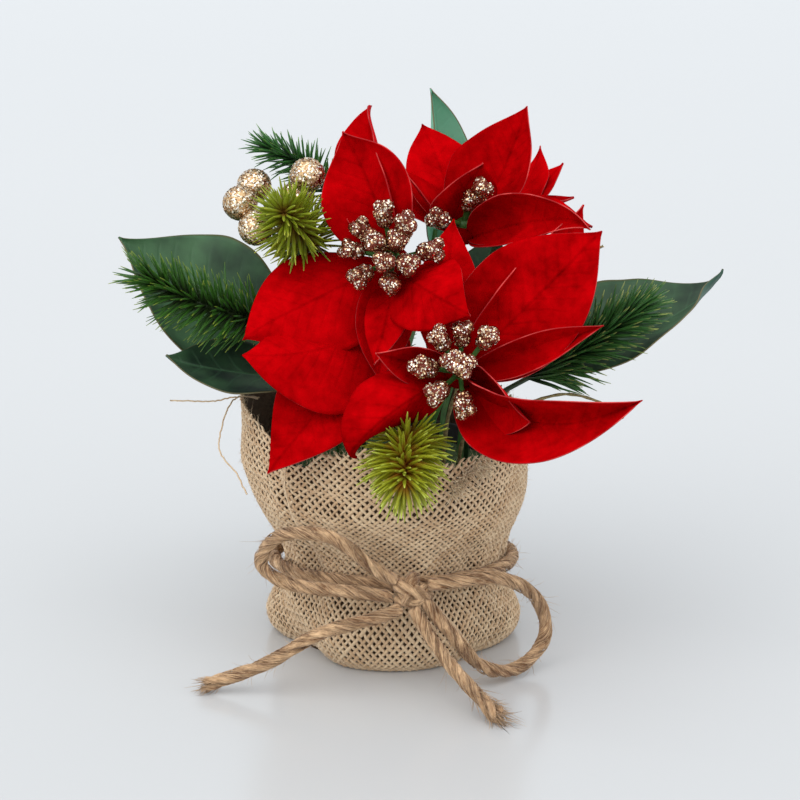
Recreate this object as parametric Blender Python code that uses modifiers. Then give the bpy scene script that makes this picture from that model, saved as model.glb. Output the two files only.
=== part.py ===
"""A potted poinsettia arrangement: red blooms, leaves, fir sprigs and berries in a sacking wrap.

The frame stands at the middle of the base, +Z up, and -Y is the front. Every size is in metres.
"""

import math
import random
from collections import namedtuple

import bmesh
import bpy
from mathutils import Vector
from mathutils.bvhtree import BVHTree

MM = 0.001
GAP = 0.3 * MM  # between pieces that touch

# Driving sizes of the pot, its foam and the wrap
POT_BASE_RADIUS = 35 * MM
POT_RIM_RADIUS = 43 * MM
POT_HEIGHT = 78 * MM
POT_WALL = 1.6 * MM
FOAM_TOP = 71 * MM
CLOTH = 1.3 * MM
WAIST_HEIGHT = 33 * MM
WAIST_RADIUS = 45.6 * MM
WAIST_TILT = 6 * MM  # the twine sits higher at the front than at the back
TWINE = 5.2 * MM
HOLE_FLOOR = 50 * MM
STEM_RADIUS = 1.2 * MM
BLADE = 0.8 * MM

Blade = namedtuple("Blade", "turn rise length width bend hook sweep roll twist fold cup")


def place(x, y, z):
    """A point given in millimetres."""
    return Vector((x, y, z)) * MM


def clear_scene():
    for obj in list(bpy.data.objects):
        bpy.data.objects.remove(obj)


def new_collection(name):
    made = bpy.data.collections.new(name)
    bpy.context.scene.collection.children.link(made)
    return made


def material(name, colour, roughness, metallic=0.0):
    made = bpy.data.materials.new(name)
    made.use_nodes = True
    shader = made.node_tree.nodes["Principled BSDF"]
    shader.inputs["Base Color"].default_value = (*colour, 1)
    shader.inputs["Roughness"].default_value = roughness
    shader.inputs["Metallic"].default_value = metallic
    return made


def mesh_object(name, bm):
    mesh = bpy.data.meshes.new(name)
    bm.to_mesh(mesh)
    bm.free()
    obj = bpy.data.objects.new(name, mesh)
    bpy.context.scene.collection.objects.link(obj)
    return obj


def evaluated_mesh(obj):
    bpy.context.view_layer.update()
    graph = bpy.context.evaluated_depsgraph_get()
    return bpy.data.meshes.new_from_object(obj.evaluated_get(graph))


def baked(obj):
    """The object again as a plain mesh, its modifiers applied and its loose caps welded."""
    mesh = evaluated_mesh(obj)
    bm = bmesh.new()
    bm.from_mesh(mesh)
    bm.transform(obj.matrix_world)
    bmesh.ops.remove_doubles(bm, verts=bm.verts, dist=0.001 * MM)
    name = obj.name
    bpy.data.objects.remove(obj)
    return mesh_object(name, bm)


def largest_shell(obj):
    """Keeps the outer skin alone: sealed hollows are filled and loose scraps dropped."""
    bm = bmesh.new()
    bm.from_mesh(obj.data)
    left = set(bm.verts)
    shells = []
    while left:
        shell = {left.pop()}
        edge = set(shell)
        while edge:
            edge = {e.other_vert(v) for v in edge for e in v.link_edges} & left
            shell |= edge
            left -= edge
        shells.append(shell)
    shells.sort(key=len)
    bmesh.ops.delete(bm, geom=[v for shell in shells[:-1] for v in shell], context="VERTS")
    bm.to_mesh(obj.data)
    bm.free()
    return obj


def joined(name, finish, pieces):
    """One body made of the first piece and all the others, which are then removed."""
    first, others = pieces[0], pieces[1:]
    group = bpy.data.collections.new(name)
    for piece in others:
        bpy.context.scene.collection.objects.unlink(piece)
        group.objects.link(piece)
    bpy.context.scene.collection.children.link(group)
    if others:
        union = first.modifiers.new("join", "BOOLEAN")
        union.operation = "UNION"
        union.operand_type = "COLLECTION"
        union.collection = group
        union.solver = "MANIFOLD"
    whole = largest_shell(baked(first))
    for piece in others:
        bpy.data.objects.remove(piece)
    bpy.data.collections.remove(group)
    return finished(name, finish, whole)


def cut_out(obj, cutters, finish):
    """The object less its cutters, which are then removed."""
    group = bpy.data.collections.new("cutters")
    bpy.context.scene.collection.children.link(group)
    for cutter in cutters:
        bpy.context.scene.collection.objects.unlink(cutter)
        group.objects.link(cutter)
    cut = obj.modifiers.new("cut", "BOOLEAN")
    cut.operation = "DIFFERENCE"
    cut.operand_type = "COLLECTION"
    cut.collection = group
    cut.solver = "MANIFOLD"
    name = obj.name
    whole = baked(obj)
    for cutter in cutters:
        bpy.data.objects.remove(cutter)
    bpy.data.collections.remove(group)
    return finished(name, finish, whole)


def finished(name, finish, obj):
    """Names the object, gives it its material and moves it into the arrangement."""
    obj.name = name
    obj.data.shade_smooth()
    obj.data.set_sharp_from_angle(angle=math.radians(40))
    obj.data.materials.clear()
    obj.data.materials.append(finish)
    for other in list(obj.users_collection):
        other.objects.unlink(obj)
    ARRANGEMENT.objects.link(obj)
    return obj


def bezier(a, b, c, d, steps):
    """Points along a cubic curve, both ends included."""
    found = []
    for i in range(steps + 1):
        t = i / steps
        u = 1 - t
        found.append(u**3 * a + 3 * u * u * t * b + 3 * u * t * t * c + t**3 * d)
    return found


def through(points, steps):
    """A smooth line through the given points, with so many steps between each two."""
    ends = [2 * points[0] - points[1], *points, 2 * points[-1] - points[-2]]
    found = []
    for before, a, b, after in zip(ends, ends[1:], ends[2:], ends[3:]):
        found += bezier(a, a + (b - before) / 6, b - (after - a) / 6, b, steps)[:-1]
    return found + [points[-1]]


def tube(points, radius, rounding=1, taper=None, closed=False):
    """A round rod along the points. Its taper is a radius factor for each point."""
    curve = bpy.data.curves.new("rod", "CURVE")
    curve.dimensions = "3D"
    curve.bevel_depth = radius
    curve.bevel_resolution = rounding
    curve.use_fill_caps = True
    spline = curve.splines.new("POLY")
    spline.use_cyclic_u = closed
    spline.points.add(len(points) - 1)
    for i, point in enumerate(points):
        spline.points[i].co = (*point, 1)
        spline.points[i].radius = taper[i] if taper else 1
    obj = bpy.data.objects.new("rod", curve)
    bpy.context.scene.collection.objects.link(obj)
    return baked(obj)


def cylinder(base, axis, radius, length, sides):
    """A cylinder whose first face is centred on base."""
    bm = bmesh.new()
    bmesh.ops.create_cone(
        bm, cap_ends=True, segments=sides, radius1=radius, radius2=radius, depth=length
    )
    obj = mesh_object("cylinder", bm)
    axis = Vector(axis).normalized()
    obj.rotation_mode = "QUATERNION"
    obj.rotation_quaternion = axis.to_track_quat("Z", "Y")
    obj.location = base + axis * length / 2
    return baked(obj)


def cone(base, tip, radius, sides):
    """A pointed needle from base to tip."""
    bm = bmesh.new()
    length = (tip - base).length
    bmesh.ops.create_cone(
        bm, cap_ends=True, segments=sides, radius1=radius, radius2=0, depth=length
    )
    obj = mesh_object("cone", bm)
    obj.rotation_mode = "QUATERNION"
    obj.rotation_quaternion = (tip - base).to_track_quat("Z", "Y")
    obj.location = (base + tip) / 2
    return baked(obj)


def ball(centre, radius, stretch=1.0, axis=(0, 0, 1), detail=2):
    """A round bead, stretched along its axis."""
    bm = bmesh.new()
    bmesh.ops.create_icosphere(bm, subdivisions=detail, radius=radius)
    bmesh.ops.scale(bm, vec=(1, 1, stretch), verts=bm.verts)
    obj = mesh_object("ball", bm)
    obj.rotation_mode = "QUATERNION"
    obj.rotation_quaternion = Vector(axis).to_track_quat("Z", "Y")
    obj.location = centre
    return baked(obj)


def turned(name, profile, steps):
    """A body of revolution about Z from (radius, height) pairs."""
    bm = bmesh.new()
    corners = [bm.verts.new((r, 0, z)) for r, z in profile]
    for a, b in zip(corners, corners[1:]):
        bm.edges.new((a, b))
    obj = mesh_object(name, bm)
    screw = obj.modifiers.new("turn", "SCREW")
    screw.steps = screw.render_steps = steps
    screw.use_merge_vertices = True
    screw.merge_threshold = 0.01 * MM
    return obj


# Pot and foam


def make_pot():
    base, rim = POT_BASE_RADIUS, POT_RIM_RADIUS
    floor = CLOTH + GAP
    profile = [
        (rim - POT_WALL, POT_HEIGHT),
        (rim, POT_HEIGHT),
        (rim, POT_HEIGHT - 6 * MM),
        (rim - 1.2 * MM, POT_HEIGHT - 6.5 * MM),
        (base, floor),
        (0, floor),
        (0, floor + POT_WALL),
        (base - POT_WALL, floor + POT_WALL),
        (rim - 1.2 * MM - POT_WALL, POT_HEIGHT - 8 * MM),
        (rim - POT_WALL, POT_HEIGHT),
    ]
    return finished("pot", BLACK_PLASTIC, turned("pot", profile, 24))


def make_foam(holes):
    """A plug of floral foam, with a hole for each stem."""
    floor = CLOTH + GAP + POT_WALL + GAP
    lower = POT_BASE_RADIUS - POT_WALL - GAP - 0.4 * MM
    upper = POT_RIM_RADIUS - POT_WALL - 2.2 * MM - GAP
    profile = [(0, FOAM_TOP), (upper, FOAM_TOP), (lower, floor), (0, floor)]
    foam = turned("foam", profile, 24)
    cutters = []
    for (x, y), stem in holes:
        foot = place(x, y, 0) + Vector((0, 0, HOLE_FLOOR))
        cutters.append(cylinder(foot, (0, 0, 1), (stem + GAP) * 1.2, 30 * MM, 6))
    return cut_out(foam, cutters, FOAM_GREEN)


# Sacking wrap: a square of cloth gathered up round the pot and tied at the waist

WRAP_PROFILE = [  # radius and height up the outside, from the flat base to below the rim
    (0, 0),
    (38, 0),
    (46, 2),
    (49.6, 8),
    (49, 15),
    (46.4, 24),
    (45.6, 33),
    (47, 42),
    (50.4, 53),
    (53, 64),
    (53.8, 76),
]
RIM_STEPS = 2
WRAP_TURNS = 40


def near(angle, middle, spread):
    """1 at the middle azimuth, falling away over the spread; all in degrees but the angle."""
    away = (math.degrees(angle) - middle + 180) % 360 - 180
    return math.exp(-((away / spread) ** 2))


def rim_height(angle):
    """The gathered edge has a corner up at the left and dips where the low sprig comes over it."""
    corner = 12 * near(angle, 184, 26) - 5 * near(angle, 293, 12) - 5 * near(angle, 345, 40)
    return (92 + corner - 7 * near(angle, 226, 12) + 2 * math.sin(3 * angle)) * MM


def lean(angle, height):
    """How far the cloth stands out of its round profile, or in from it."""
    level = height / MM
    up = min(1, max(0, (level - 45) / 31))
    foot = math.exp(-((level / 17) ** 2))
    tied = math.exp(-(((level - 33) / 15) ** 2))
    folds = math.sin(9 * angle + 0.6) + 0.5 * math.sin(5 * angle + 2.1)
    out = 6.5 * near(angle, 182, 38) * up
    out += foot * (3 * near(angle, 175, 22) + 2.5 * near(angle, 355, 22))
    out -= foot * (8.5 * near(angle, 214, 20) + 3.5 * near(angle, 318, 20))
    return (out + tied * (folds - 1.4)) * MM


def tied_height(angle, height):
    """Heights shift with the slant of the twine, and not at the base or the rim."""
    level = height / MM
    share = math.sin(math.pi * min(1, max(0, level / 66))) if level < 66 else 0
    return height - WAIST_TILT * math.sin(angle) * share


def wrap_point(angle, row):
    """A point of the cloth's outer face: row counts along the profile, then the rim."""
    rows = len(WRAP_PROFILE)
    radius, height = (value * MM for value in WRAP_PROFILE[min(row, rows - 1)])
    if row >= rows:
        height += (row - rows + 1) / RIM_STEPS * (rim_height(angle) - height)
    if height > 0:
        radius += lean(angle, height)
    height = tied_height(angle, height)
    return Vector((radius * math.cos(angle), radius * math.sin(angle), height))


def make_wrap():
    rows = len(WRAP_PROFILE) + RIM_STEPS
    bm = bmesh.new()
    bmesh.ops.create_grid(bm, x_segments=WRAP_TURNS, y_segments=rows - 1, size=0.5)
    for vert in bm.verts:
        turn = round((vert.co.x + 0.5) * WRAP_TURNS)
        row = round((vert.co.y + 0.5) * (rows - 1))
        vert.co = wrap_point(2 * math.pi * turn / WRAP_TURNS, row)
    bmesh.ops.remove_doubles(bm, verts=bm.verts, dist=0.01 * MM)
    bmesh.ops.triangulate(bm, faces=bm.faces)
    bmesh.ops.recalc_face_normals(bm, faces=bm.faces)
    wrap = mesh_object("wrap", bm)
    thick = wrap.modifiers.new("cloth", "SOLIDIFY")
    thick.thickness = CLOTH
    thick.offset = -1
    return finished("burlap_wrap", SACKING, baked(wrap))


# Jute twine: a turn round the waist, tied in a bow at the front

KNOT = (7, -55.9, 39)
KNOT_SIZE = (7.4, 4.9, 6.4)
BOW_ROUTES = {  # hand-laid points; the ends run into the knot and are cut back to it
    "bow_loop_left": [
        (2.4, -56.4, 42.4), (-7, -58.5, 49), (-24, -59.2, 62), (-43.4, -49.8, 59.2),
        (-51.4, -42.3, 45.4), (-40.4, -47.6, 38.6), (-16.2, -57, 38.8), (2.2, -56.6, 36.6),
    ],
    "bow_loop_right": [
        (11.6, -56.4, 41.2), (23, -57.4, 43), (42, -51, 42), (56.2, -41, 30), (60, -39.6, 13.4),
        (49.4, -49.6, 4.4), (35.2, -60, 8.8), (21.7, -61.8, 24.4), (12, -57.6, 35.8),
    ],
    "bow_tail_left": [
        (3.6, -58, 32), (-7, -61.4, 29.6), (-28.4, -64, 24.2), (-49, -64.8, 12.2),
        (-73, -64.6, 2.9),
    ],
    "bow_tail_right": [
        (8, -58.8, 33), (12.6, -64.6, 26.2), (23.6, -75.2, 14.2), (40, -94.6, 2.9),
    ],
}


def knot_body(room):
    """The knot's rounded block, larger all round by the room given in millimetres."""
    knot = ball(place(0, 0, 0), 1)
    for vert in knot.data.vertices:
        sized = [a * (size + room) for a, size in zip(vert.co, KNOT_SIZE)]
        vert.co = place(*sized) + place(*KNOT)
    return knot


def make_twine():
    turns = 36
    radius = WAIST_RADIUS + TWINE / 2 + GAP
    ring = []
    for i in range(turns):
        angle = 2 * math.pi * i / turns
        height = WAIST_HEIGHT - WAIST_TILT * math.sin(angle)
        ring.append(Vector((radius * math.cos(angle), radius * math.sin(angle), height)))
    finished("twine_band", JUTE, tube(ring, TWINE / 2, 2, closed=True))
    finished("bow_knot", JUTE, knot_body(0))
    for name, route in BOW_ROUTES.items():
        cord = tube(through([place(*p) for p in route], 2), TWINE / 2, 2)
        finished(name, JUTE, cord)
        cut_out(cord, [knot_body(GAP / MM)], JUTE)


# Blades: bracts and leaves share one outline, widest at the middle and drawn to a point


def outline(t, middle):
    """Half-width share along a blade whose widest place is at middle."""
    u = t ** (math.log(0.5) / math.log(middle))
    away = abs(2 * u - 1)
    return (1 - away**2) ** 0.75 if u < 0.5 else (1 - away**2.4) ** 1.25


def axes_of(facing):
    up = Vector(facing).normalized()
    right = Vector((1, 0, 0))
    right = (right - right.dot(up) * up).normalized()
    return right, up.cross(right), up


def spine(blade, root, facing, steps, start=3 * MM):
    """(point, along, side, up) at each step down a blade's midrib."""
    right, over, up = axes_of(facing)
    turn, rise = math.radians(blade.turn), math.radians(blade.rise)
    radial = math.cos(turn) * right + math.sin(turn) * over
    ahead = math.cos(rise) * radial + math.sin(rise) * up
    normal = math.cos(rise) * up - math.sin(rise) * radial
    across = ahead.cross(normal)
    point = root + start * radial
    fine = 6
    found = []
    for i in range(steps * fine + 1):
        t = i / (steps * fine)
        hook = max(0, (t - 0.7) / 0.3) ** 2
        pitch = math.radians(blade.bend * t + blade.hook * hook)
        yaw = math.radians(blade.sweep * t)
        along = math.cos(yaw) * (math.cos(pitch) * ahead - math.sin(pitch) * normal)
        along += math.sin(yaw) * across
        lifted = math.sin(pitch) * ahead + math.cos(pitch) * normal
        side = along.cross(lifted).normalized()
        lifted = side.cross(along)
        roll = math.radians(blade.roll + blade.twist * t)
        if i % fine == 0:
            found.append((
                point.copy(),
                along,
                math.cos(roll) * side + math.sin(roll) * lifted,
                math.cos(roll) * lifted - math.sin(roll) * side,
            ))
        point = point + along * blade.length * MM / (steps * fine)
    return found


def blade_object(blade, root, facing, lengthwise, across, middle=0.44, neck=0.02, start=3 * MM):
    """One thin arched blade, a closed body of even thickness."""
    rows = spine(blade, root, facing, lengthwise, start)
    bm = bmesh.new()
    bmesh.ops.create_grid(bm, x_segments=lengthwise, y_segments=across, size=0.5)
    for vert in bm.verts:
        row = round((vert.co.x + 0.5) * lengthwise)
        u = 2 * vert.co.y
        point, _, side, up = rows[row]
        t = neck + (1 - neck) * row / lengthwise
        half = blade.width * MM / 2 * outline(min(t, 1), middle)
        angle = math.radians(blade.fold + blade.cup * abs(u) / 2)
        vert.co = point + half * (u * math.cos(angle) * side + abs(u) * math.sin(angle) * up)
    bmesh.ops.remove_doubles(bm, verts=bm.verts, dist=0.02 * MM)
    bmesh.ops.triangulate(bm, faces=bm.faces)
    sheet = mesh_object("blade", bm)
    thick = sheet.modifiers.new("thickness", "SOLIDIFY")
    thick.thickness = BLADE
    thick.offset = 0
    return baked(sheet)


# Keeping pieces clear of each other


def tree_of(obj):
    """A search tree of the object's faces, to keep other pieces clear of it."""
    mesh = obj.data
    return BVHTree.FromPolygons([v.co for v in mesh.vertices], [p.vertices for p in mesh.polygons])


def clear_of(trees, base, tip, distance):
    """Whether the line keeps that distance from every surface."""
    way = tip - base
    for tree in trees:
        if tree.ray_cast(base, way.normalized(), way.length)[0] is not None:
            return False
        for share in (0.15, 0.3, 0.45, 0.6, 0.8, 1.0):
            if tree.find_nearest(base + way * share, distance)[0] is not None:
                return False
    return True


# Blooms: large outer bracts and small inner ones round a hub

Bloom = namedtuple("Bloom", "name hub facing hole outer inner buds collar")

BLOOMS = [
    Bloom(
        "bloom_left", (1, -22, 161), (-0.15, -0.85, 0.5), (-6, -8),
        [  # turn rise length width bend hook sweep roll twist fold cup
            Blade(104, 10, 52, 43, -3, -26, -14, 19, -15, 14, 38),
            Blade(106, -5, 70, 34, 6, 47, 13, 14, 26, 22, 56),
            Blade(208, 19, 64, 46, 26, 24, 2, -17, 40, -13, -18),
            Blade(262, 6, 44, 24, 16, 0, 0, 0, 0, 8, 20),
        ],
        [
            Blade(269, 35, 42, 18, 32, -6, 14, -8, 4, -4, 0),
            Blade(300, 64, 51, 34, 54, 19, -30, -7, -16, -10, -14),
        ],
        11,
        True,
    ),
    Bloom(
        "bloom_right", (25, -52, 125), (0.07, -0.92, 0.39), (12, -22),
        [
            Blade(100, -23, 61, 25, -18, -7, 20, 14, -8, 4, 12),
            Blade(44, 12, 73, 48, 5, -8, -2, 8, 10, 8, 16),
            Blade(46, -8, 82, 34, 3, -10, -16, -14, -16, 16, 36),
            Blade(13, 12, 56, 22, -24, 12, -8, -14, 20, 40, 28),
            Blade(207, 54, 63, 36, 94, 113, -21, -10, 73, -27, -51),
        ],
        [
            Blade(310, 29, 82, 46, -44, 7, -58, -36, -26, 42, 34),
            Blade(325, 42, 39, 28, -10, -16, 12, -28, -30, 14, 40),
            Blade(171, 28, 33, 18, -12, 0, 0, 12, 10, 18, 38),
        ],
        11,
        False,
    ),
    Bloom(
        "bloom_back", (27, 12, 164), (0.15, -0.15, 0.97), (12, 8),
        [
            Blade(106, 30, 56, 32, 4, -4, -11, 7, 5, 5, 14),
            Blade(47, 46, 57, 42, -28, -6, -5, 0, 4, 13, 30),
            Blade(43, 9, 62, 28, -30, -18, -30, 16, 16, 0, -10),
            Blade(40, 11, 57, 26, -25, 0, -8, 6, 6, 8, 10),
            Blade(32, 12, 53, 25, 0, 0, -4, 6, 6, 14, 24),
            Blade(354, 28, 50, 40, 22, 21, 0, -16, 22, 6, 15),
            Blade(80, 4, 60, 34, 14, 0, 0, 0, 0, 8, 20),
            Blade(148, 8, 52, 32, 10, 0, 0, 0, 0, 8, 20),
        ],
        [
            Blade(146, 97, 34, 31, -22, -2, -5, 22, 1, 5, 10),
            Blade(170, 50, 30, 20, 10, 0, 0, 0, 0, 8, 24),
            Blade(324, 38, 62, 31, 21, 36, 13, -68, -3, 25, 54),
        ],
        9,
        False,
    ),
]
HUB_RADIUS = 7 * MM
HUB_HEIGHT = 5 * MM
BLOOM_STEM_RADIUS = 1.6 * MM
CALYX = 5 * MM

# Two bracts of the left bloom sit lower, on a collar threaded on its stem
COLLAR_POINT = 6  # of the stem's points, from the foot
COLLAR_FACING = (-0.1, -0.6, 0.8)
COLLAR_BRACTS = [
    Blade(243, 17, 69, 54, -8, -4, 62, 4, 32, -12, -22),
    Blade(242, 2, 83, 40, 18, -6, 14, 6, 4, 2, 11),
]


def bloom_stem_path(bloom):
    """The stem ends inside the calyx, which meets the back of the hub."""
    facing = Vector(bloom.facing).normalized()
    end = place(*bloom.hub) - facing * (HUB_HEIGHT / 2 + GAP + CALYX / 2)
    return stem_path(bloom.hole, end, facing, 0.24)


def collar_pieces(path):
    """The lower bracts of the left bloom, on a collar round its stem, and the cutter of its bore."""
    centre = path[COLLAR_POINT]
    axis = (path[COLLAR_POINT + 1] - path[COLLAR_POINT - 1]).normalized()
    pieces = [cylinder(centre - axis * 2.5 * MM, axis, 4.6 * MM, 5 * MM, 12)]
    for blade in COLLAR_BRACTS:
        pieces.append(blade_object(blade, centre, COLLAR_FACING, 7, 2))
    bore = cylinder(centre - axis * 8 * MM, axis, BLOOM_STEM_RADIUS + 2.5 * GAP, 16 * MM, 12)
    return pieces, bore


def stem_path(hole, end, arriving, nod=0.5):
    """Straight up out of the foam, then in one bend to its end; a small nod bends it late."""
    foot = place(*hole, 0) + Vector((0, 0, HOLE_FLOOR + 0.5 * MM))
    out = foot.copy()
    out.z = FOAM_TOP + 2 * MM
    reach = (end - out).length
    last = end - Vector(arriving).normalized() * reach * nod
    return [foot, *bezier(out, out + Vector((0, 0, reach / 2)), last, end, 8)]


def make_bloom(bloom):
    hub, facing = place(*bloom.hub), Vector(bloom.facing).normalized()
    core = cylinder(hub - facing * HUB_HEIGHT / 2, facing, HUB_RADIUS, HUB_HEIGHT, 10)
    pieces = [core]
    for blade in bloom.outer:
        pieces.append(blade_object(blade, hub - facing * 0.4 * MM, facing, 6, 2))
    for blade in bloom.inner:
        pieces.append(blade_object(blade, hub, facing, 5, 2, start=5.5 * MM))
    path = bloom_stem_path(bloom)
    if bloom.collar:
        lower, bore = collar_pieces(path)
        cut_out(joined(bloom.name + "_bracts", RED, pieces + lower), [bore], RED)
    else:
        joined(bloom.name + "_bracts", RED, pieces)
    calyx = cylinder(path[-1] - facing * CALYX / 2, facing, 2.6 * MM, CALYX, 8)
    joined(bloom.name + "_stem", STEM_GREEN, [tube(path, BLOOM_STEM_RADIUS, 2), calyx])


BUD_STRETCH = 1.3
BUD_TRIES = [(bend, cut) for cut in (1, 0.8, 0.64) for bend in (0, -8, 8, -16, 16, -24, -32)]


def bud_places(count, seed):
    """(turn, lean, reach, radius) of each bud: a ring of outer ones and a few in the middle."""
    draw = random.Random(seed)
    inner = count // 3
    found = []
    for i in range(count):
        outer = i < count - inner
        turn = 360 * i / (count - inner) if outer else 30 + 360 * i / inner
        lean = draw.uniform(50, 62) if outer else draw.uniform(16, 26)
        reach = draw.uniform(15.5, 19) if outer else draw.uniform(13, 15.5)
        found.append((turn + draw.uniform(-8, 8), lean, reach, draw.uniform(3.7, 4.3)))
    return found


def make_buds(bloom, trees):
    """Glittered buds on stalks, grown from one button, bent or stunted where bracts crowd them."""
    right, over, up = axes_of(bloom.facing)
    foot = place(*bloom.hub) + up * (HUB_HEIGHT / 2 + GAP)
    pieces = [cylinder(foot, up, 2.8 * MM, 3 * MM, 10)]
    root = foot + up * 1.5 * MM
    for turn, tilt, reach, radius in bud_places(bloom.buds, bloom.name):
        for bend, cut in BUD_TRIES:
            angle, leaning = math.radians(turn), math.radians(tilt + bend)
            out = math.cos(angle) * right + math.sin(angle) * over
            way = math.sin(leaning) * out + math.cos(leaning) * up
            top = root + way * reach * cut * MM
            size = radius * cut * MM
            room = BUD_STRETCH * size + 0.5 * MM
            near_top = [tree for tree in trees if tree.find_nearest(top, room)[0] is not None]
            if not near_top and clear_of(trees, root, top, 1.3 * MM):
                pieces.append(tube([root, top - way * 2 * MM], 0.9 * MM, 0))
                pieces.append(ball(top, size, BUD_STRETCH, way, 1))
                break
    joined(bloom.name + "_buds", GOLD, pieces)


# Leaves on wire stems

Leaf = namedtuple("Leaf", "name hole root facing blade")

LEAVES = [
    Leaf("leaf_left_upper", (-22, 10), (-44.6, 16, 118.6), (-0.1, -0.8, 0.6),
         Blade(165, 14, 79, 62, -15, -16, 28, 6, -40, 12, 24)),
    Leaf("leaf_left_lower", (-27, -12), (-36, -14, 112), (-0.2, -0.5, 0.85),
         Blade(183, 17, 55, 30, -18, -28, 0, -6, 12, 8, 16)),
    Leaf("leaf_right", (27, 2), (56, -2, 120), (0.1, -0.75, 0.65),
         Blade(0, 5, 86, 54, -12, -70, -42, 4, 50, 14, 22)),
    Leaf("leaf_top", (2, 26), (17, 80, 144), (-0.1, -0.98, 0.2),
         Blade(83, 5, 67, 32, -14, -13, -14, -24, -28, 26, 48)),
    Leaf("leaf_back_left", (-14, 24), (-22, 44, 128), (-0.3, 0.5, 0.8),
         Blade(128, 6, 70, 40, 14, 0, 0, 0, 0, 8, 14)),
    Leaf("leaf_back_right", (20, 22), (25, 38, 96), (0.1, -0.97, 0.25),
         Blade(75, 6, 64, 42, -8, 0, 0, 0, 0, 12, 20)),
]
LEAF_MIDDLE = 0.46


def make_leaf(leaf):
    root = place(*leaf.root)
    rows = spine(leaf.blade, root, leaf.facing, 8, 0)
    blade = blade_object(leaf.blade, root, leaf.facing, 8, 2, LEAF_MIDDLE, 0.03, 0)
    arriving = rows[0][1]
    path = stem_path(leaf.hole, root + arriving * 6 * MM, arriving)
    joined(leaf.name, LEAF_GREEN, [tube(path, STEM_RADIUS, 1), blade])


# Fir sprigs: three-sided needles all round a twig

Sprig = namedtuple("Sprig", "name hole route needles length lean")

SPRIGS = [
    Sprig("sprig_left", (-31, -2), [(-50, -12, 134), (-75, -22, 144.6), (-94, -30, 156.6)], 38, 19, 58),
    Sprig("sprig_facing", (-22, 14), [(-31, 4, 161), (-37, -16, 173), (-41, -38, 184)], 35, 20, 60),
    Sprig("sprig_top", (-12, 14), [(-22, 18, 176), (-35, 18, 190), (-50, 17, 198)], 24, 14, 55),
    Sprig("sprig_front", (8, -31), [(6, -46, 100), (5, -64, 99), (4.6, -86, 94.6)], 40, 22, 62),
    Sprig("sprig_right", (29, -9), [(52, -22, 114), (72, -21, 125), (95, -20, 141)], 38, 19, 46),
    Sprig("sprig_back", (-4, 33), [(-4, 42, 103), (-5, 62, 115), (-7, 84, 128)], 26, 17, 56),
]
GOLDEN_TURN = 137.5


def needle_tips(sprig, line, trees):
    """(base, tip) of each needle, turned on from the last by the golden angle."""
    draw = random.Random(sprig.name)
    found = []
    for i in range(sprig.needles):
        share = (i + 0.5) / sprig.needles
        at = share * (len(line) - 1)
        k = min(int(at), len(line) - 2)
        base = line[k].lerp(line[k + 1], at - k)
        ahead = (line[k + 1] - line[k]).normalized()
        side = ahead.orthogonal().normalized()
        over = ahead.cross(side)
        turn = math.radians(GOLDEN_TURN * i + draw.uniform(-12, 12))
        lean = math.radians(sprig.lean * (1 - 0.55 * share**3) + draw.uniform(-6, 6))
        out = math.cos(turn) * side + math.sin(turn) * over
        way = math.cos(lean) * ahead + math.sin(lean) * out
        length = sprig.length * MM * draw.uniform(0.88, 1.08) * (1 - 0.2 * share**4)
        for cut in (1, 0.8, 0.6):
            if clear_of(trees, base + way * 1.2 * MM, base + way * length * cut, 1.0 * MM):
                found.append((base, base + way * length * cut))
                break
    return found


def make_sprig(sprig, trees):
    line = through([place(*p) for p in sprig.route], 4)
    arriving = line[1] - line[0]
    path = stem_path(sprig.hole, line[0], arriving)
    rod = tube([*path, *line[1:]], 1.1 * MM, 1)
    pieces = [rod]
    for base, tip in needle_tips(sprig, line, trees):
        pieces.append(cone(base, tip, 0.62 * MM, 3))
    joined(sprig.name, FIR, pieces)


# Berry pick and twigs

BERRY_HOLE = (-16, 4)
BERRY_FORK = (-38, 6, 158)
BERRY_STALK = 0.8 * MM
BERRY_RADIUS = 6.8 * MM
BERRIES = [(-33, -6, 191.5), (-59.4, -4, 180), (-54.6, 9, 184), (-53, -12, 172), (-38, 10, 179)]


def make_berries():
    fork = place(*BERRY_FORK)
    pieces = [tube(stem_path(BERRY_HOLE, fork, (-0.5, 0.1, 1)), STEM_RADIUS)]
    for centre in BERRIES:
        middle = place(*centre)
        sag = fork.lerp(middle, 0.55) - place(0, 0, 1)
        pieces.append(tube([fork, sag, middle], BERRY_STALK, 0))
        pieces.append(ball(middle, BERRY_RADIUS))
    joined("berry_pick", GOLD, pieces)


TWIGS = {
    "twig_glitter": ((20, -14), [
        [(30, -24, 132), (33, -25, 150), (35.4, -26, 160), (43.9, -26, 166.4), (50.5, -26, 166.6),
         (60, -25, 169.4)],
        [(34.6, -24, 158), (50, -20, 158), (68, -15, 160), (81.6, -12, 164.8)],
    ]),
    "twig_dry": ((26, -18), [[(48, -26, 104), (66, -26, 109), (80, -26, 106), (90, -25, 99)]]),
}


def make_twig(name, hole, branches):
    pieces = []
    for i, branch in enumerate(branches):
        line = through([place(*p) for p in branch], 3)
        if i == 0:
            line = [*stem_path(hole, line[0], line[1] - line[0])[:-1], *line]
        taper = [1 - 0.45 * k / (len(line) - 1) for k in range(len(line))]
        pieces.append(tube(line, 0.85 * MM, 1, taper))
    joined(name, TWIG, pieces)


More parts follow.
